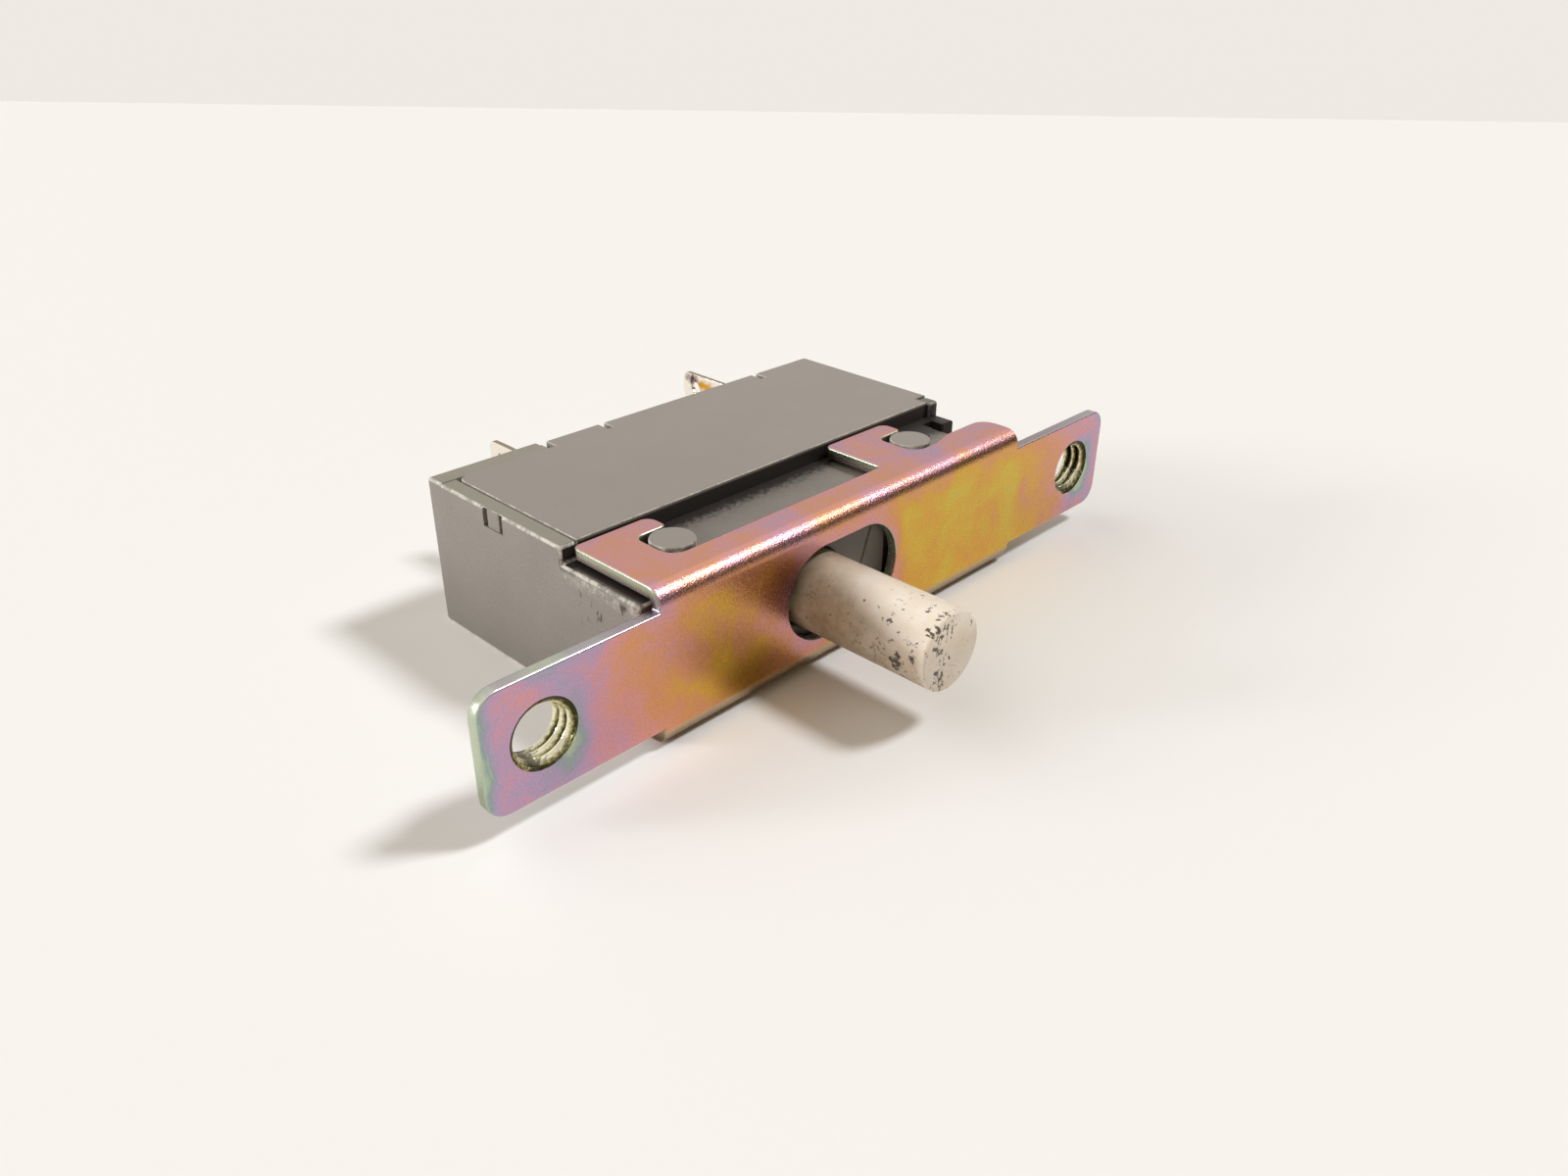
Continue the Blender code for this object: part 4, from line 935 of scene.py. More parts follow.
# %% Fold it
BEND_STEPS = 12
sheet = bmesh.new()
sheet.faces.new([sheet.verts.new((across, FRONT, MID + up)) for across, up in outline])
for step in range(BEND_STEPS + 1):
    fold = Vector((0.0, FRONT, MID + BEND_START + BEND_LENGTH * step / BEND_STEPS))
    everything = list(sheet.verts) + list(sheet.edges) + list(sheet.faces)
    bmesh.ops.bisect_plane(sheet, geom=everything, dist=0.0001 * MM, plane_co=fold,
                           plane_no=(0.0, 0.0, 1.0))
for vert in sheet.verts:
    along = vert.co.z - MID - BEND_START
    turn = min(max(along / BEND_LENGTH, 0.0), 1.0) * math.pi / 2
    straight = max(along - BEND_LENGTH, 0.0)
    if along > 0:
        vert.co.y = FRONT + BEND_OUTSIDE * (1 - math.cos(turn)) + straight
        vert.co.z = MID + BEND_START + BEND_OUTSIDE * math.sin(turn)
everything = list(sheet.verts) + list(sheet.edges) + list(sheet.faces)
middle = Matrix.Translation((0.0, 0.0, -MID))
bmesh.ops.mirror(sheet, geom=everything, matrix=middle, merge_dist=0.001 * MM, axis="Z")
bmesh.ops.remove_doubles(sheet, verts=sheet.verts, dist=0.001 * MM)
bmesh.ops.recalc_face_normals(sheet, faces=sheet.faces)
plate = max(sheet.faces, key=lambda face: face.calc_area())
if plate.normal.y > 0:
    bmesh.ops.reverse_faces(sheet, faces=sheet.faces)
print("folded surface:", len(sheet.faces), "faces")

# %% Give it its thickness and round its sheared edges
SHEARED_ROUND = 0.16 * MM
rolled = set(sheet.verts)
bmesh.ops.solidify(sheet, geom=list(sheet.faces), thickness=SHEET)
for face in sheet.faces:
    on_front = sum(1 for vert in face.verts if vert in rolled)
    face.material_index = 1 if 0 < on_front < len(face.verts) else 0
soften(sheet, SHEARED_ROUND, segments=3, sharper_than=50)
box_of_sheet = [[getattr(vert.co, axis) / MM for vert in sheet.verts] for axis in "xyz"]
print("folded sheet, mm:", [(round(min(side), 2), round(max(side), 2)) for side in box_of_sheet])

# %% [markdown]
# The tapped holes come next.  Metal is drawn out behind each hole so that a 1 mm sheet can hold
# nearly three turns of M5 thread, 0.8 mm apart.  A collar is joined behind the ear, and the
# thread is cut with a tap-shaped tool: one tooth of the thread is spun round the hole's axis
# while it climbs, which `spin` does with `dvec`.  The tool is closed with a fan at each end,
# because a Boolean needs a closed tool.

# %% A tap for the M5 thread
THREAD_PITCH = 0.8 * MM
THREAD_TOP = 2.5 * MM
THREAD_ROOT = 2.1 * MM
THREAD_TURNS = 7
TURN_STEPS = 40
COLLAR_RADIUS = 3.4 * MM
COLLAR_REACH = 2.3 * MM
COLLAR_FILLET = 0.3 * MM
COLLAR_CHAMFER = 0.2 * MM
HOLE_RIM = 2.62 * MM
CONE_FROM = 0.06 * MM
CONE_TO = 0.34 * MM
THREAD_SLOT = 2
# How far a cutting tool runs past the surface that it cuts.
PAST = 1.0 * MM
# One tooth of the tap: (radius, share of a pitch).
TOOTH = ((THREAD_ROOT, 0.0), (THREAD_ROOT, 0.125), (THREAD_TOP, 0.5), (THREAD_TOP, 0.625),
         (THREAD_ROOT, 1.0))


def tap(x):
    """A closed tool in the shape of the M5 thread, from in front of the sheet to behind it."""
    shape = bmesh.new()
    chain = [shape.verts.new((radius, share * THREAD_PITCH, 0.0)) for radius, share in TOOTH]
    edges = [shape.edges.new(pair) for pair in zip(chain, chain[1:])]
    climb = (0.0, THREAD_PITCH / TURN_STEPS, 0.0)
    bmesh.ops.spin(shape, geom=chain + edges, cent=(0, 0, 0), axis=(0, 1, 0), dvec=climb,
                   angle=2 * math.pi * THREAD_TURNS, steps=TURN_STEPS * THREAD_TURNS, use_merge=False)
    bmesh.ops.remove_doubles(shape, verts=shape.verts, dist=0.001 * MM)
    open_edges = [edge for edge in shape.edges if edge.is_boundary]
    top_y = THREAD_PITCH * (THREAD_TURNS + 1)
    for end_y in (0.0, top_y):
        hub = shape.verts.new((0.0, end_y, 0.0))
        for edge in open_edges:
            if abs(sum(vert.co.y for vert in edge.verts) / 2 - end_y) < top_y / 2:
                shape.faces.new((hub, *edge.verts))
    bmesh.ops.translate(shape, verts=shape.verts, vec=(x, FRONT - 2 * PAST, MID))
    bmesh.ops.recalc_face_normals(shape, faces=shape.faces)
    for face in shape.faces:
        face.material_index = THREAD_SLOT
    return shape


print("thread: M5 x", round(THREAD_PITCH / MM, 2), "in", THREAD_TURNS, "turns of the tool")

# %% A drill for the hole and a collar behind it
def countersink(x):
    """A tool that opens the hole's front to a short cone and drills the thread's root."""
    profile = [(0.0, -PAST), (HOLE_RIM, -PAST), (HOLE_RIM, CONE_FROM), (THREAD_ROOT, CONE_TO),
               (THREAD_ROOT, COLLAR_REACH - 0.25 * MM), (THREAD_TOP, COLLAR_REACH + 0.1 * MM),
               (0.0, COLLAR_REACH + 0.1 * MM)]
    shape = turned(profile, (x, FRONT, MID))
    for face in shape.faces:
        face.material_index = THREAD_SLOT
    return shape


def collar(x):
    """The ring of metal drawn out behind the sheet, still solid."""
    profile = [(0.0, SHEET / 2), (COLLAR_RADIUS + COLLAR_FILLET, SHEET / 2),
               (COLLAR_RADIUS + COLLAR_FILLET - 0.05 * MM, SHEET + 0.02 * MM),
               (COLLAR_RADIUS, SHEET + COLLAR_FILLET),
               (COLLAR_RADIUS, COLLAR_REACH - COLLAR_CHAMFER),
               (COLLAR_RADIUS - COLLAR_CHAMFER, COLLAR_REACH), (0.0, COLLAR_REACH)]
    return turned(profile, (x, FRONT, MID))


# %% Join the collars, tap the holes, and finish the bracket
for x in (-HOLE_X, HOLE_X):
    sheet = carve(sheet, collar(x), "UNION")
    sheet = carve_all(sheet, [countersink(x), tap(x)])
make_piece("bracket", sheet, [rolled_face, sheared_edge, cut_thread], "switch_body",
           "plated_steel", "mounting_bracket")

# %% [markdown]
# ## The case
#
# The case is one moulding, open at the top: a thick body, a thinner nose that the bracket's
# flanges clamp, and pegs that lock in the hooks.  A solid of the stepped side view gets its
# rounded edges first.  The cavity and the openings are then cut, so their own edges stay as crisp
# as a mould leaves them.  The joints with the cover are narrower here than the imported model's
# clearances: 0.04 to 0.1 mm, which is what two good mouldings leave.
#
# Two small features are joined to the block: a pad that stands 0.5 mm out of the rear wall left
# of the first terminal, and a post at the right end of the step, in a corner cut from the cover.

# %% Walls, cavity and joints
WALL = 1.4 * MM
FLOOR = 1.5 * MM
NOSE_FLOOR = -3.5 * MM
COVER_THICKNESS = 1.6 * MM
COVER_UNDER = CASE_HALF - COVER_THICKNESS
CAVITY_FRONT = NOSE_FRONT + WALL
CAVITY_REAR = CASE_REAR - WALL
CAVITY_LEFT = CASE_LEFT + WALL
CAVITY_RIGHT = CASE_RIGHT - WALL
SEAM = 0.1 * MM
SEAT = COVER_UNDER - SEAM
RIM_DROP = 0.14 * MM
RIM = CASE_HALF - RIM_DROP
print("cavity, mm:", round((CAVITY_RIGHT - CAVITY_LEFT) / MM, 2), "x",
      round((CAVITY_REAR - CAVITY_FRONT) / MM, 2))

# %% The stepped block with its rounded edges
EDGE_ROUND = 0.3 * MM
REAR_PAD = 0.5 * MM
PAD_OVER_RIM = 0.06 * MM
SLOT_WIDTH_HALF = 0.28 * MM
case_side = [(NOSE_FRONT, -NOSE_HALF), (STEP, -NOSE_HALF), (STEP, -CASE_HALF),
             (CASE_REAR, -CASE_HALF), (CASE_REAR, RIM), (STEP, RIM), (STEP, NOSE_HALF),
             (NOSE_FRONT, NOSE_HALF)]
case = slab(case_side, along_x, CASE_LEFT, CASE_RIGHT)
soften(case, EDGE_ROUND, segments=4)
cavity = [(CAVITY_FRONT, NOSE_FLOOR), (STEP + WALL, NOSE_FLOOR), (STEP + WALL, FLOOR - CASE_HALF),
          (CAVITY_REAR, FLOOR - CASE_HALF), (CAVITY_REAR, CASE_HALF + PAST),
          (CAVITY_FRONT, CASE_HALF + PAST)]
rear_pad = block((CASE_LEFT, CASE_REAR - WALL, -CASE_HALF),
                 (BLADE_XS[0] - SLOT_WIDTH_HALF, CASE_REAR + REAR_PAD, RIM + PAD_OVER_RIM))
soften(rear_pad, EDGE_ROUND, 4,
       chosen=lambda edge: any(vert.co.y > CASE_REAR for vert in edge.verts))
case = carve(case, rear_pad, "UNION")
case = carve(case, slab(cavity, along_x, CAVITY_LEFT, CAVITY_RIGHT))
print("case with its cavity:", len(case.faces), "faces")

# %% Tools for the cover's seat, the terminal slots and the snap window
BLADE_TOP = 4.5 * MM
BLADE_FOOT = 1.7 * MM
SPARE_SLOT_X = -4.3 * MM
SLOT_FOOT = BLADE_FOOT - 0.15 * MM
SNAP_Y = FRONT + 18.25 * MM
SNAP_Z = CASE_HALF - 0.95 * MM
SNAP_WIDTH = 2.5 * MM
SNAP_HEIGHT = 1.5 * MM
seat_plan = [(BLADE_XS[0], CAVITY_REAR - PAST), (CAVITY_RIGHT - PAST, CAVITY_REAR - PAST),
             (CAVITY_RIGHT - PAST, STEP - SEAM), (CASE_RIGHT + PAST, STEP - SEAM),
             (CASE_RIGHT + PAST, CASE_REAR + PAST), (BLADE_XS[0], CASE_REAR + PAST)]
cutters = [slab(seat_plan, along_z, SEAT, CASE_HALF + PAST)]
for x in (*BLADE_XS, SPARE_SLOT_X):
    cutters.append(block((x - SLOT_WIDTH_HALF, CAVITY_REAR - PAST, SLOT_FOOT),
                         (x + SLOT_WIDTH_HALF, CASE_REAR + PAST, CASE_HALF + PAST)))
cutters.append(block((CASE_LEFT - PAST, SNAP_Y - SNAP_WIDTH / 2, SNAP_Z - SNAP_HEIGHT / 2),
                     (CAVITY_LEFT + PAST, SNAP_Y + SNAP_WIDTH / 2, SNAP_Z + SNAP_HEIGHT / 2)))
print("tools so far:", len(cutters))

# %% Tools for the rim notch, the pit, the bore and the face's groove and pocket
NOTCH_LEFT = 18.45 * MM
NOTCH_Y = (FRONT + 4.4 * MM, FRONT + 7.75 * MM)
NOTCH_FLOOR = NOSE_HALF - 2.2 * MM
PIT = ((18.6 * MM, FRONT + 7.0 * MM, NOSE_HALF - 1.3 * MM),
       (20.0 * MM, FRONT + 9.0 * MM, PAST + NOSE_HALF))
GROOVE_HALF = 0.13 * MM
GROOVE_DEPTH = 0.6 * MM
GROOVE_TOP = 3.0 * MM
GROOVE_SLANT = math.radians(20)
POCKET_LEFT = 4.3 * MM
POCKET_RIGHT = 6.9 * MM
POCKET_DEPTH = 1.2 * MM
BORE_GAP = 0.25 * MM
PLUNGER_RADIUS = (plunger_high.z - plunger_low.z) / 2
BORE_RADIUS = PLUNGER_RADIUS + BORE_GAP
cutters.append(block((CAVITY_RIGHT - PAST, NOTCH_Y[0], NOTCH_FLOOR),
                     (CASE_RIGHT + PAST, NOTCH_Y[1], NOSE_HALF + PAST)))
cutters.append(block(*PIT))
bore = arc(PLUNGER_X, 0.0, BORE_RADIUS, 0, 360, 64)[:-1]
cutters.append(slab(bore, along_y, NOSE_FRONT - PAST, CAVITY_FRONT + PAST))
groove = block((-GROOVE_HALF, NOSE_FRONT - PAST, -SLOT_HALF),
               (GROOVE_HALF, NOSE_FRONT + GROOVE_DEPTH, SLOT_HALF))
bmesh.ops.rotate(groove, verts=groove.verts, cent=(0, 0, MID + SLOT_HALF),
                 matrix=Matrix.Rotation(GROOVE_SLANT, 3, "Y"))
bmesh.ops.translate(groove, verts=groove.verts, vec=(GROOVE_TOP, 0, 0))
cutters.append(groove)
cutters.append(block((POCKET_LEFT, NOSE_FRONT - PAST, -SLOT_HALF),
                     (POCKET_RIGHT, NOSE_FRONT + POCKET_DEPTH, SLOT_HALF)))
case = carve_all(case, cutters)
print("case with its openings:", len(case.faces), "faces")

# %% A peg for the bracket's hooks
PEG_RADIUS = 1.725 * MM
PEG_CHAMFER = 0.12 * MM
PEG_Y = FRONT + 5.5 * MM
PEG_XS = (-14.5 * MM, 12.45 * MM)
PEG_END = FLANGE_OUTSIDE + 0.1 * MM


def peg(x, low, high):
    """A peg with a small chamfer at its outer end, standing up or hanging down."""
    outer, inner = (high, low) if high > 0 else (low, high)
    inward = 1 if outer < 0 else -1
    shape = bmesh.new()
    bmesh.ops.create_cone(shape, cap_ends=True, segments=64, radius1=PEG_RADIUS, radius2=PEG_RADIUS,
                          depth=abs(outer - inner))
    bmesh.ops.translate(shape, verts=shape.verts, vec=(x, PEG_Y, MID + (outer + inner) / 2))
    outer_z = MID + outer + inward * 0.01 * MM
    return soften(shape, PEG_CHAMFER, 2, chosen=lambda edge: all(
        (vert.co.z - outer_z) * inward < 0 for vert in edge.verts))


# %% Ribs that guide the carriage, and grooved ribs that hold the terminals' strips
RIB = 1.2 * MM
ROOT = 0.5 * MM
CARRIAGE_HALF = (plunger_high.x - plunger_low.x) / 2
CONTACT_XS = (PLUNGER_X - 5.5 * MM, PLUNGER_X + 5.5 * MM)
STRIP_FRONT = FRONT + 17.2 * MM
STRIP_REAR = FRONT + 17.7 * MM
STRIP_GAP = 0.1 * MM
HOLDER_TOP = -1.5 * MM
HOLDER_GROOVE = -2.1 * MM
ribs = []
for side in (-1, 1):
    near = PLUNGER_X + side * (CARRIAGE_HALF + BORE_GAP)
    far = near + side * RIB
    ribs.append(block((min(near, far), CAVITY_FRONT - ROOT, NOSE_FLOOR - ROOT),
                      (max(near, far), STEP + 0.3 * MM, PLUNGER_RADIUS - 0.05 * MM)))
near, far, foot = STRIP_FRONT - STRIP_GAP, STRIP_REAR + STRIP_GAP, FLOOR - CASE_HALF - ROOT
holder = [(near - RIB, foot), (far + RIB, foot), (far + RIB, HOLDER_TOP), (far, HOLDER_TOP),
          (far, HOLDER_GROOVE), (near, HOLDER_GROOVE), (near, HOLDER_TOP), (near - RIB, HOLDER_TOP)]
for x in (*CONTACT_XS, BLADE_XS[1] - PAST):
    ribs.append(slab(holder, along_x, x - RIB / 2, x + RIB / 2))
print("ribs:", len(ribs))

# %% The spring's post, the lower pegs and the corner post, then the finished case
SPRING_AXIS = Vector((PLUNGER_X, 0.0, MID))
SPRING_POST_RADIUS = 1.1 * MM
SPRING_POST_FRONT = CAVITY_REAR - 2.5 * MM
SPRING_POST_TAPER = (0.15 * MM, 0.2 * MM)
CORNER_POST = ((20.3 * MM, STEP - 0.35 * MM, NOSE_HALF - 1.0 * MM),
               (CASE_RIGHT, STEP + 1.2 * MM, CASE_HALF - 0.1 * MM))
spring_post = [(0.0, SPRING_POST_FRONT),
               (SPRING_POST_RADIUS - SPRING_POST_TAPER[0], SPRING_POST_FRONT),
               (SPRING_POST_RADIUS, SPRING_POST_FRONT + SPRING_POST_TAPER[1]),
               (SPRING_POST_RADIUS, CAVITY_REAR + ROOT), (0.0, CAVITY_REAR + ROOT)]
joined = ribs + [turned(spring_post, SPRING_AXIS)]
joined += [peg(x, -PEG_END, ROOT - NOSE_HALF) for x in PEG_XS]
# The corner post's rounded corners become triangles, because a Boolean needs flat faces.
corner_post = soften(block(*CORNER_POST), EDGE_ROUND, 3)
bmesh.ops.triangulate(corner_post, faces=corner_post.faces)
case = carve_all(case, joined + [corner_post], "UNION")
make_piece("case", case, [case_grey], "switch_body", "case_plastic", "switch_case")

# %% [markdown]
# ## The cover
#
# The cover is a flat lid that drops into the case.  Its front part steps down over the nose and
# carries the two upper pegs, and a nub on its left edge snaps into the window in the case's wall.
# Its rear edge has slits for the terminal blades.  It is drawn as a plan outline with a
# thickness, and the stepped part is joined to it.

# %% The lid with its slits
NOSE_SEAM = 0.08 * MM
REAR_EDGE = CASE_REAR - 0.1 * MM
LID_CORNER = 0.12 * MM
SLIT_CORNER = 0.1 * MM
LID_EDGE = 0.13 * MM
lid_left = CAVITY_LEFT + SEAM
lid_rear = CAVITY_REAR - NOSE_SEAM
tongue = BLADE_XS[0] + SLOT_WIDTH_HALF
plan = [(lid_left, STEP, LID_CORNER), (CASE_RIGHT, STEP, 0.2 * MM),
        (CASE_RIGHT, REAR_EDGE, 0.25 * MM)]
for x in (BLADE_XS[1], SPARE_SLOT_X):
    plan += [(x + SLOT_WIDTH_HALF, REAR_EDGE, LID_CORNER),
             (x + SLOT_WIDTH_HALF, REAR_EDGE - WALL, SLIT_CORNER),
             (x - SLOT_WIDTH_HALF, REAR_EDGE - WALL, SLIT_CORNER),
             (x - SLOT_WIDTH_HALF, REAR_EDGE, LID_CORNER)]
plan += [(tongue, REAR_EDGE, LID_CORNER), (tongue, lid_rear, 0.0), (lid_left, lid_rear, 0.9 * MM)]
cover = slab(rounded(plan, 5), along_z, COVER_UNDER, CASE_HALF)
top_z = MID + CASE_HALF - 0.01 * MM
soften(cover, LID_EDGE, 3, chosen=lambda edge: all(vert.co.z > top_z for vert in edge.verts))
print("lid:", len(cover.faces), "faces")

# %% Its stepped nose, its nub and pegs, then the finished cover
TIE = 0.3 * MM
NUB_INSET = 0.08 * MM
NUB_FRONT = 0.7 * MM
NUB_REAR = 0.88 * MM
NUB_HALF = 0.74 * MM
POST_GAP = 0.04 * MM
nose_low = CAVITY_FRONT + NOSE_SEAM
tie_top = CASE_HALF - COVER_THICKNESS / 2
ceiling = PLUNGER_RADIUS + BORE_GAP
nose = [(nose_low, ceiling), (STEP + COVER_THICKNESS, ceiling), (STEP + COVER_THICKNESS, tie_top),
        (STEP + TIE, tie_top), (STEP + TIE, NOSE_HALF), (nose_low, NOSE_HALF)]
cover = carve(cover, slab(nose, along_x, CAVITY_LEFT + NOSE_SEAM, CAVITY_RIGHT - NOSE_SEAM), "UNION")
nub = block((CASE_LEFT + NUB_INSET, SNAP_Y - NUB_FRONT, SNAP_Z - NUB_HALF),
            (lid_left + ROOT, SNAP_Y + NUB_REAR, SNAP_Z + NUB_HALF))
soften(nub, 0.15 * MM, 2, chosen=lambda edge: any(vert.co.z > MID + SNAP_Z for vert in edge.verts))
notch = block((NOTCH_LEFT, NOTCH_Y[0], NOTCH_FLOOR),
              (CASE_RIGHT + PAST, NOTCH_Y[1], NOSE_HALF + PAST))
corner = block((CORNER_POST[0][0] - POST_GAP, STEP - PAST, COVER_UNDER - PAST),
               (CASE_RIGHT + PAST, CORNER_POST[1][1] + POST_GAP, CASE_HALF + PAST))
cover = carve_all(cover, [notch, block(*PIT), corner])
cover = carve_all(cover, [nub] + [peg(x, NOSE_HALF - ROOT, PEG_END) for x in PEG_XS], "UNION")
make_piece("cover", cover, [cover_grey], "switch_body", "cover_plastic", "case_cover")

# %% [markdown]
# ## The plunger
#
# The plunger is a round rod with a flat carriage behind the bracket that keeps it from turning,
# and a thin stem that carries the contact bridge and its springs.  A lathe would make the rod and
# the stem, so `turned` spins them in one profile, and the carriage is joined to it.

# %% Rod, carriage and stem
TIP = plunger_low.y
STEM_END = plunger_high.y
CARRIAGE_FRONT = FRONT + 3.0 * MM
CARRIAGE_REAR = FRONT + 6.0 * MM
STEM_RADIUS = 1.2 * MM
STEM_CHAMFER = 0.2 * MM
TIP_CURVE = 0.25 * MM
TIP_HOLLOW = 0.02 * MM
profile = [(0.0, TIP + TIP_HOLLOW), (PLUNGER_RADIUS * 0.5, TIP + 0.75 * TIP_HOLLOW)]
profile += arc(PLUNGER_RADIUS - TIP_CURVE, TIP + TIP_CURVE, TIP_CURVE, -90, 0, 6)
profile += [(PLUNGER_RADIUS, CARRIAGE_FRONT + PAST), (STEM_RADIUS, CARRIAGE_FRONT + PAST),
            (STEM_RADIUS, STEM_END - STEM_CHAMFER), (STEM_RADIUS - STEM_CHAMFER, STEM_END),
            (0.0, STEM_END)]
plunger = turned(profile, SPRING_AXIS, 96)
carriage = block((PLUNGER_X - CARRIAGE_HALF, CARRIAGE_FRONT, -PLUNGER_RADIUS),
                 (PLUNGER_X + CARRIAGE_HALF, CARRIAGE_REAR, PLUNGER_RADIUS))
soften(carriage, 0.2 * MM, 2)
plunger = carve(plunger, carriage, "UNION")
make_piece("plunger_rod", plunger, [ivory_acetal], "plunger", "plunger_plastic", "plunger")

# %% [markdown]
# ## The terminals
#
# Each terminal is one strip of tinned brass: a blade that leaves through the rear wall, folded
# inside the case into a strip that carries a fixed contact.  The blade's tip is rounded and its
# edges are broken so that a receptacle slides on, and a solder hole goes through it.

# %% Blades with their folded strips
BLADE_HALF = 0.25 * MM
BLADE_BREAK = 0.07 * MM
BLADE_CORNER = 0.7 * MM
BLADE_MIDDLE = (BLADE_TOP + BLADE_FOOT) / 2
TIP_WEAR = 0.2 * MM
HOLE_SETBACK = 1.75 * MM
SOLDER_RADIUS = 0.6 * MM
RIVET_RADIUS = 0.7 * MM
STRIP_FOOT = -2.0 * MM
STRIP_TOP = BLADE_TOP - 0.2 * MM
STRIP_PAST_CONTACT = 1.5 * MM


def terminal(name, blade_x, contact_x):
    """A blade and its strip, with the solder hole and the rivet's hole."""
    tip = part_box(name)[1].y - TIP_WEAR
    inward = 1 if contact_x > blade_x else -1
    free_end = contact_x + inward * STRIP_PAST_CONTACT
    blade = rounded([(STRIP_FRONT, BLADE_FOOT, 0.0), (tip, BLADE_FOOT, BLADE_CORNER),
                     (tip, BLADE_TOP, BLADE_CORNER), (STRIP_FRONT, BLADE_TOP, 0.0)])
    shape = slab(blade, along_x, blade_x - BLADE_HALF, blade_x + BLADE_HALF, 1)
    hole = arc(tip - HOLE_SETBACK, BLADE_MIDDLE, SOLDER_RADIUS, 0, 360, 40)[:-1]
    shape = carve(shape, slab(hole, along_x, blade_x - PAST, blade_x + PAST))
    soften(shape, BLADE_BREAK, 2, 50)
    across = sorted((blade_x, free_end))
    strip = block((across[0], STRIP_FRONT, STRIP_FOOT), (across[1], STRIP_REAR, STRIP_TOP))
    soften(strip, 0.06 * MM, 2)
    shape = carve(shape, strip, "UNION")
    rivet_hole = arc(contact_x, 0.0, RIVET_RADIUS, 0, 360, 32)[:-1]
    shape = carve(shape, slab(rivet_hole, along_y, STRIP_FRONT - PAST, STRIP_REAR + PAST))
    make_piece(name + "_blade", shape, [tinned_brass, sheared_brass], "switch_body",
               "terminal_brass", name)


terminal("terminal_left", BLADE_XS[0], CONTACT_XS[0])
terminal("terminal_right", BLADE_XS[1], CONTACT_XS[1])

# %% [markdown]
# ## Springs
#
# A compression spring is wire wound on a mandrel, with its end turns closed and ground. The
# packed springs are coarse, and the real springs shorten when the plunger goes in.

# %% Coils
WIRE_RADIUS = 0.225 * MM
CLOSED_PITCH = 0.52 * MM
COIL_STEPS = 36
WIRE_SIDES = 10


def coil(name, node, radius, turns, body):
    """A compression spring along the plunger's axis between its node's ends."""
    low, high = (corner.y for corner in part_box(node))
    low, high = low + WIRE_RADIUS, high - WIRE_RADIUS
    rise = (high - low - 2 * CLOSED_PITCH) / (turns - 2)
    shape = bmesh.new()
    rings = []
    for tick in range(turns * COIL_STEPS + 1):
        turn = tick / COIL_STEPS
        angle = 2 * math.pi * turn
        along = low + CLOSED_PITCH * (min(turn, 1) + max(turn - turns + 1, 0))
        along += rise * min(max(turn - 1, 0), turns - 2)
        centre = Vector((radius * math.cos(angle), along, radius * math.sin(angle)))
        turned_ring = Matrix.Translation(SPRING_AXIS + centre) @ Matrix.Rotation(-angle, 4, "Y")
        ring = bmesh.ops.create_circle(shape, segments=WIRE_SIDES, radius=WIRE_RADIUS,
                                       matrix=turned_ring)["verts"]
        rings.append([edge for vert in ring for edge in vert.link_edges])
    for first, second in zip(rings, rings[1:]):
        bmesh.ops.bridge_loops(shape, edges=list(dict.fromkeys(first + second)))
    for end in (rings[0], rings[-1]):
        bmesh.ops.contextual_create(shape, geom=list(dict.fromkeys(end)))
    bmesh.ops.recalc_face_normals(shape, faces=shape.faces)
    piece = make_piece(name, shape, [spring_steel], body, "spring_steel", node)
    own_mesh(piece)


coil("return_coil", "return_spring", radius=1.9 * MM, turns=9, body="switch_body")
coil("contact_coil", "contact_spring", radius=1.85 * MM, turns=6, body="plunger")

# %% [markdown]
# ## Small parts that stay as packed
#
# The stem's retaining ring, the contact bridge and the silver rivets already have their true
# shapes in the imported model.  They keep those meshes and only get their real metals.

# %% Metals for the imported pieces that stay
KEPT = {"stem_clip": spring_steel, "contact_bridge": rolled_brass,
        "moving_contact_left": contact_silver, "moving_contact_right": contact_silver,
        "fixed_contact_left": contact_silver, "fixed_contact_right": contact_silver}
for node, metal in KEPT.items():
    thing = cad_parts[node]
    thing.data.materials.clear()
    thing.data.materials.append(metal)
print("kept as packed:", ", ".join(KEPT))

# %% [markdown]
# ## Floor, light and camera
#
# The switch lies on its side on a plain pale table.  Two distant lamps light it, as a room with
# two windows would: a strong one in front, high on the right, gives the plunger its soft but
# readable shadow, and a weaker low one behind on the left brightens the ends that face it.  The
# world adds a dim warm room with one wide window on the left.  Metal mirrors pale walls instead,
# brighter overhead and dark where the bracket faces the person in front of it, and that dark
# part is the line beside the highlight on the folded edge.  Lamps and room together light a
# level surface at a plain level, so a colour shows about as it is written.  The camera, and
# anything seen through a clear material, sees plain pale walls.

# %% The table
TABLE_EDGE = (Vector((57.0, 392.0)) * MM, Vector((379.0, 36.0)) * MM)
ALONG_EDGE = (TABLE_EDGE[1] - TABLE_EDGE[0]).normalized()
ACROSS_TABLE = Vector((ALONG_EDGE.y, -ALONG_EDGE.x))
TABLE_HALF = 2.5
TABLE_DEPTH = 3.0
ends = [TABLE_EDGE[0] + ALONG_EDGE * TABLE_HALF * side for side in (1, -1)]
plan = ends + [end + ACROSS_TABLE * TABLE_DEPTH for end in reversed(ends)]
table_shape = bmesh.new()
table_shape.faces.new([table_shape.verts.new((*place, 0.0)) for place in plan])
bmesh.ops.recalc_face_normals(table_shape, faces=table_shape.faces)
if table_shape.faces[:][0].normal.z < 0:
    bmesh.ops.reverse_faces(table_shape, faces=table_shape.faces)
table_mesh = bpy.data.meshes.new("table")
table_shape.to_mesh(table_mesh)
table_shape.free()
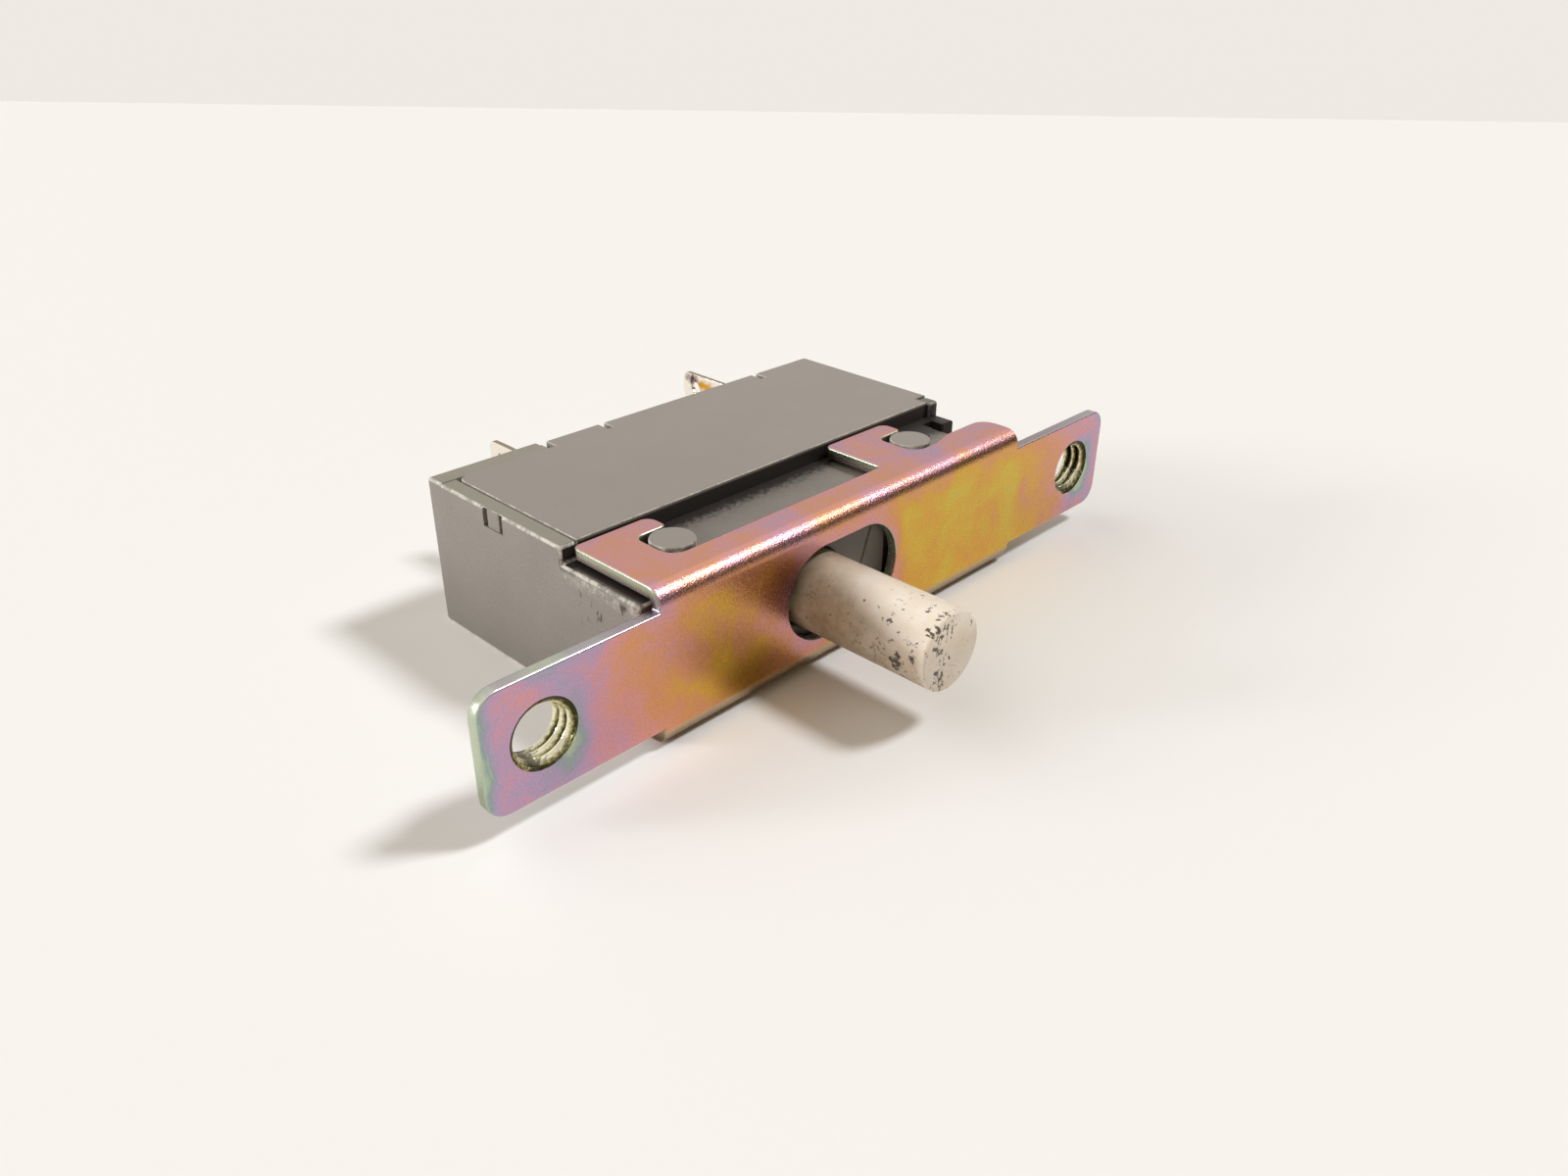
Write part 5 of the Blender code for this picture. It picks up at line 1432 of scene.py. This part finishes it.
table = bpy.data.objects.new("table", table_mesh)
bpy.context.scene.collection.objects.link(table)
paper, tree, shader, spot = new_finish("matt_paper", 0.0, 0.9)
shader.inputs["Base Color"].default_value = linear("#f8f6f2")
shader.inputs["Specular IOR Level"].default_value = 0.1
table_mesh.materials.append(paper)
print("table:", round(2 * TABLE_HALF, 1), "x", TABLE_DEPTH, "m")

# %% The key lamp and the low window
def soft_sun(name, direction, strength, colour, width):
    """A distant lamp whose width in degrees sets how soft its shadows are."""
    lamp = bpy.data.lights.new(name, "SUN")
    lamp.energy = strength
    lamp.color = colour
    lamp.angle = math.radians(width)
    holder = bpy.data.objects.new(name, lamp)
    holder.rotation_euler = Vector(direction).to_track_quat("Z", "Y").to_euler()
    bpy.context.scene.collection.objects.link(holder)
    return holder


soft_sun("key_lamp", (0.49, -0.36, 0.80), 1.75, (0.98, 1.0, 1.06), 12)
soft_sun("low_window", (-0.72, 0.50, 0.24), 1.1, (0.97, 1.0, 1.05), 14)
print("lamps:", len(bpy.data.lights))

# %% The room
world = bpy.data.worlds.new("bright_room")
bpy.context.scene.world = world
world.use_nodes = True
tree = world.node_tree
tree.nodes.clear()
way = add(tree, "TexCoord").outputs["Generated"]
window_way = add(tree, "VectorMath", way, (-0.62, 0.62, 0.48), operation="DOT_PRODUCT")
window = add(tree, "MapRange", window_way, 0.5, 0.9, 0.0, 1.12)
window_part = add(tree, "Background", (0.98, 0.99, 1.0, 1.0), window)
dim_part = add(tree, "Background", (1.0, 0.84, 0.54, 1.0), 0.2)
room = add(tree, "AddShader", window_part, dim_part)
path = add(tree, "LightPath").outputs
front_way = add(tree, "VectorMath", way, (0.62, -0.62, -0.48), operation="DOT_PRODUCT")
in_front = add(tree, "MapRange", front_way, 0.38, 0.6, 1.0, 0.16)
up = add(tree, "SeparateXYZ", way)
overhead = add(tree, "MapRange", up.outputs["Z"], 0.42, 0.7, 0.82, 1.25)
shown = add(tree, "Math", in_front, overhead, operation="MULTIPLY")
shown_wall = add(tree, "Background", linear("#eeeae3"), shown)
room = add(tree, "MixShader", path["Is Glossy Ray"], room, shown_wall)
pale_wall = add(tree, "Background", linear("#eeeae3"), 1.0)
looked_at = add(tree, "Math", path["Is Camera Ray"], path["Is Transmission Ray"],
                operation="MAXIMUM")
either = add(tree, "MixShader", looked_at, room, pale_wall)
add(tree, "OutputWorld", either)
print("world:", world.name, "with", len(tree.nodes), "nodes")

# %% The camera
AZIMUTH = math.radians(-46.081)
ELEVATION = math.radians(28.794)
ROLL = math.radians(0.534)
CAMERA_PLACE = Vector((-65.065, -66.633, 51.660)) * MM
back = Vector((math.sin(AZIMUTH) * math.cos(ELEVATION), -math.cos(AZIMUTH) * math.cos(ELEVATION),
               math.sin(ELEVATION)))
right = Vector((0, 0, 1)).cross(back).normalized()
above = back.cross(right)
rolled_right = right * math.cos(ROLL) + above * math.sin(ROLL)
rolled_above = above * math.cos(ROLL) - right * math.sin(ROLL)
turn = Matrix((rolled_right, rolled_above, back)).transposed()
camera_data = bpy.data.cameras.new("camera")
camera_data.sensor_width = 36.0
camera_data.lens = 27.893
camera_data.clip_start = 1.0 * MM
camera_data.clip_end = 20.0
camera = bpy.data.objects.new("camera", camera_data)
camera.matrix_world = Matrix.Translation(CAMERA_PLACE) @ turn.to_4x4()
bpy.context.scene.collection.objects.link(camera)
bpy.context.scene.camera = camera
bpy.context.scene.view_settings.view_transform = "Standard"
print("camera:", round(CAMERA_PLACE.length / MM), "mm from the origin,",
      "lens", round(camera_data.lens, 2), "mm")

# %% [markdown]
# ## The end
#
# The view layer is brought up to date.

# %% Bring the view layer up to date
bpy.context.view_layer.update()
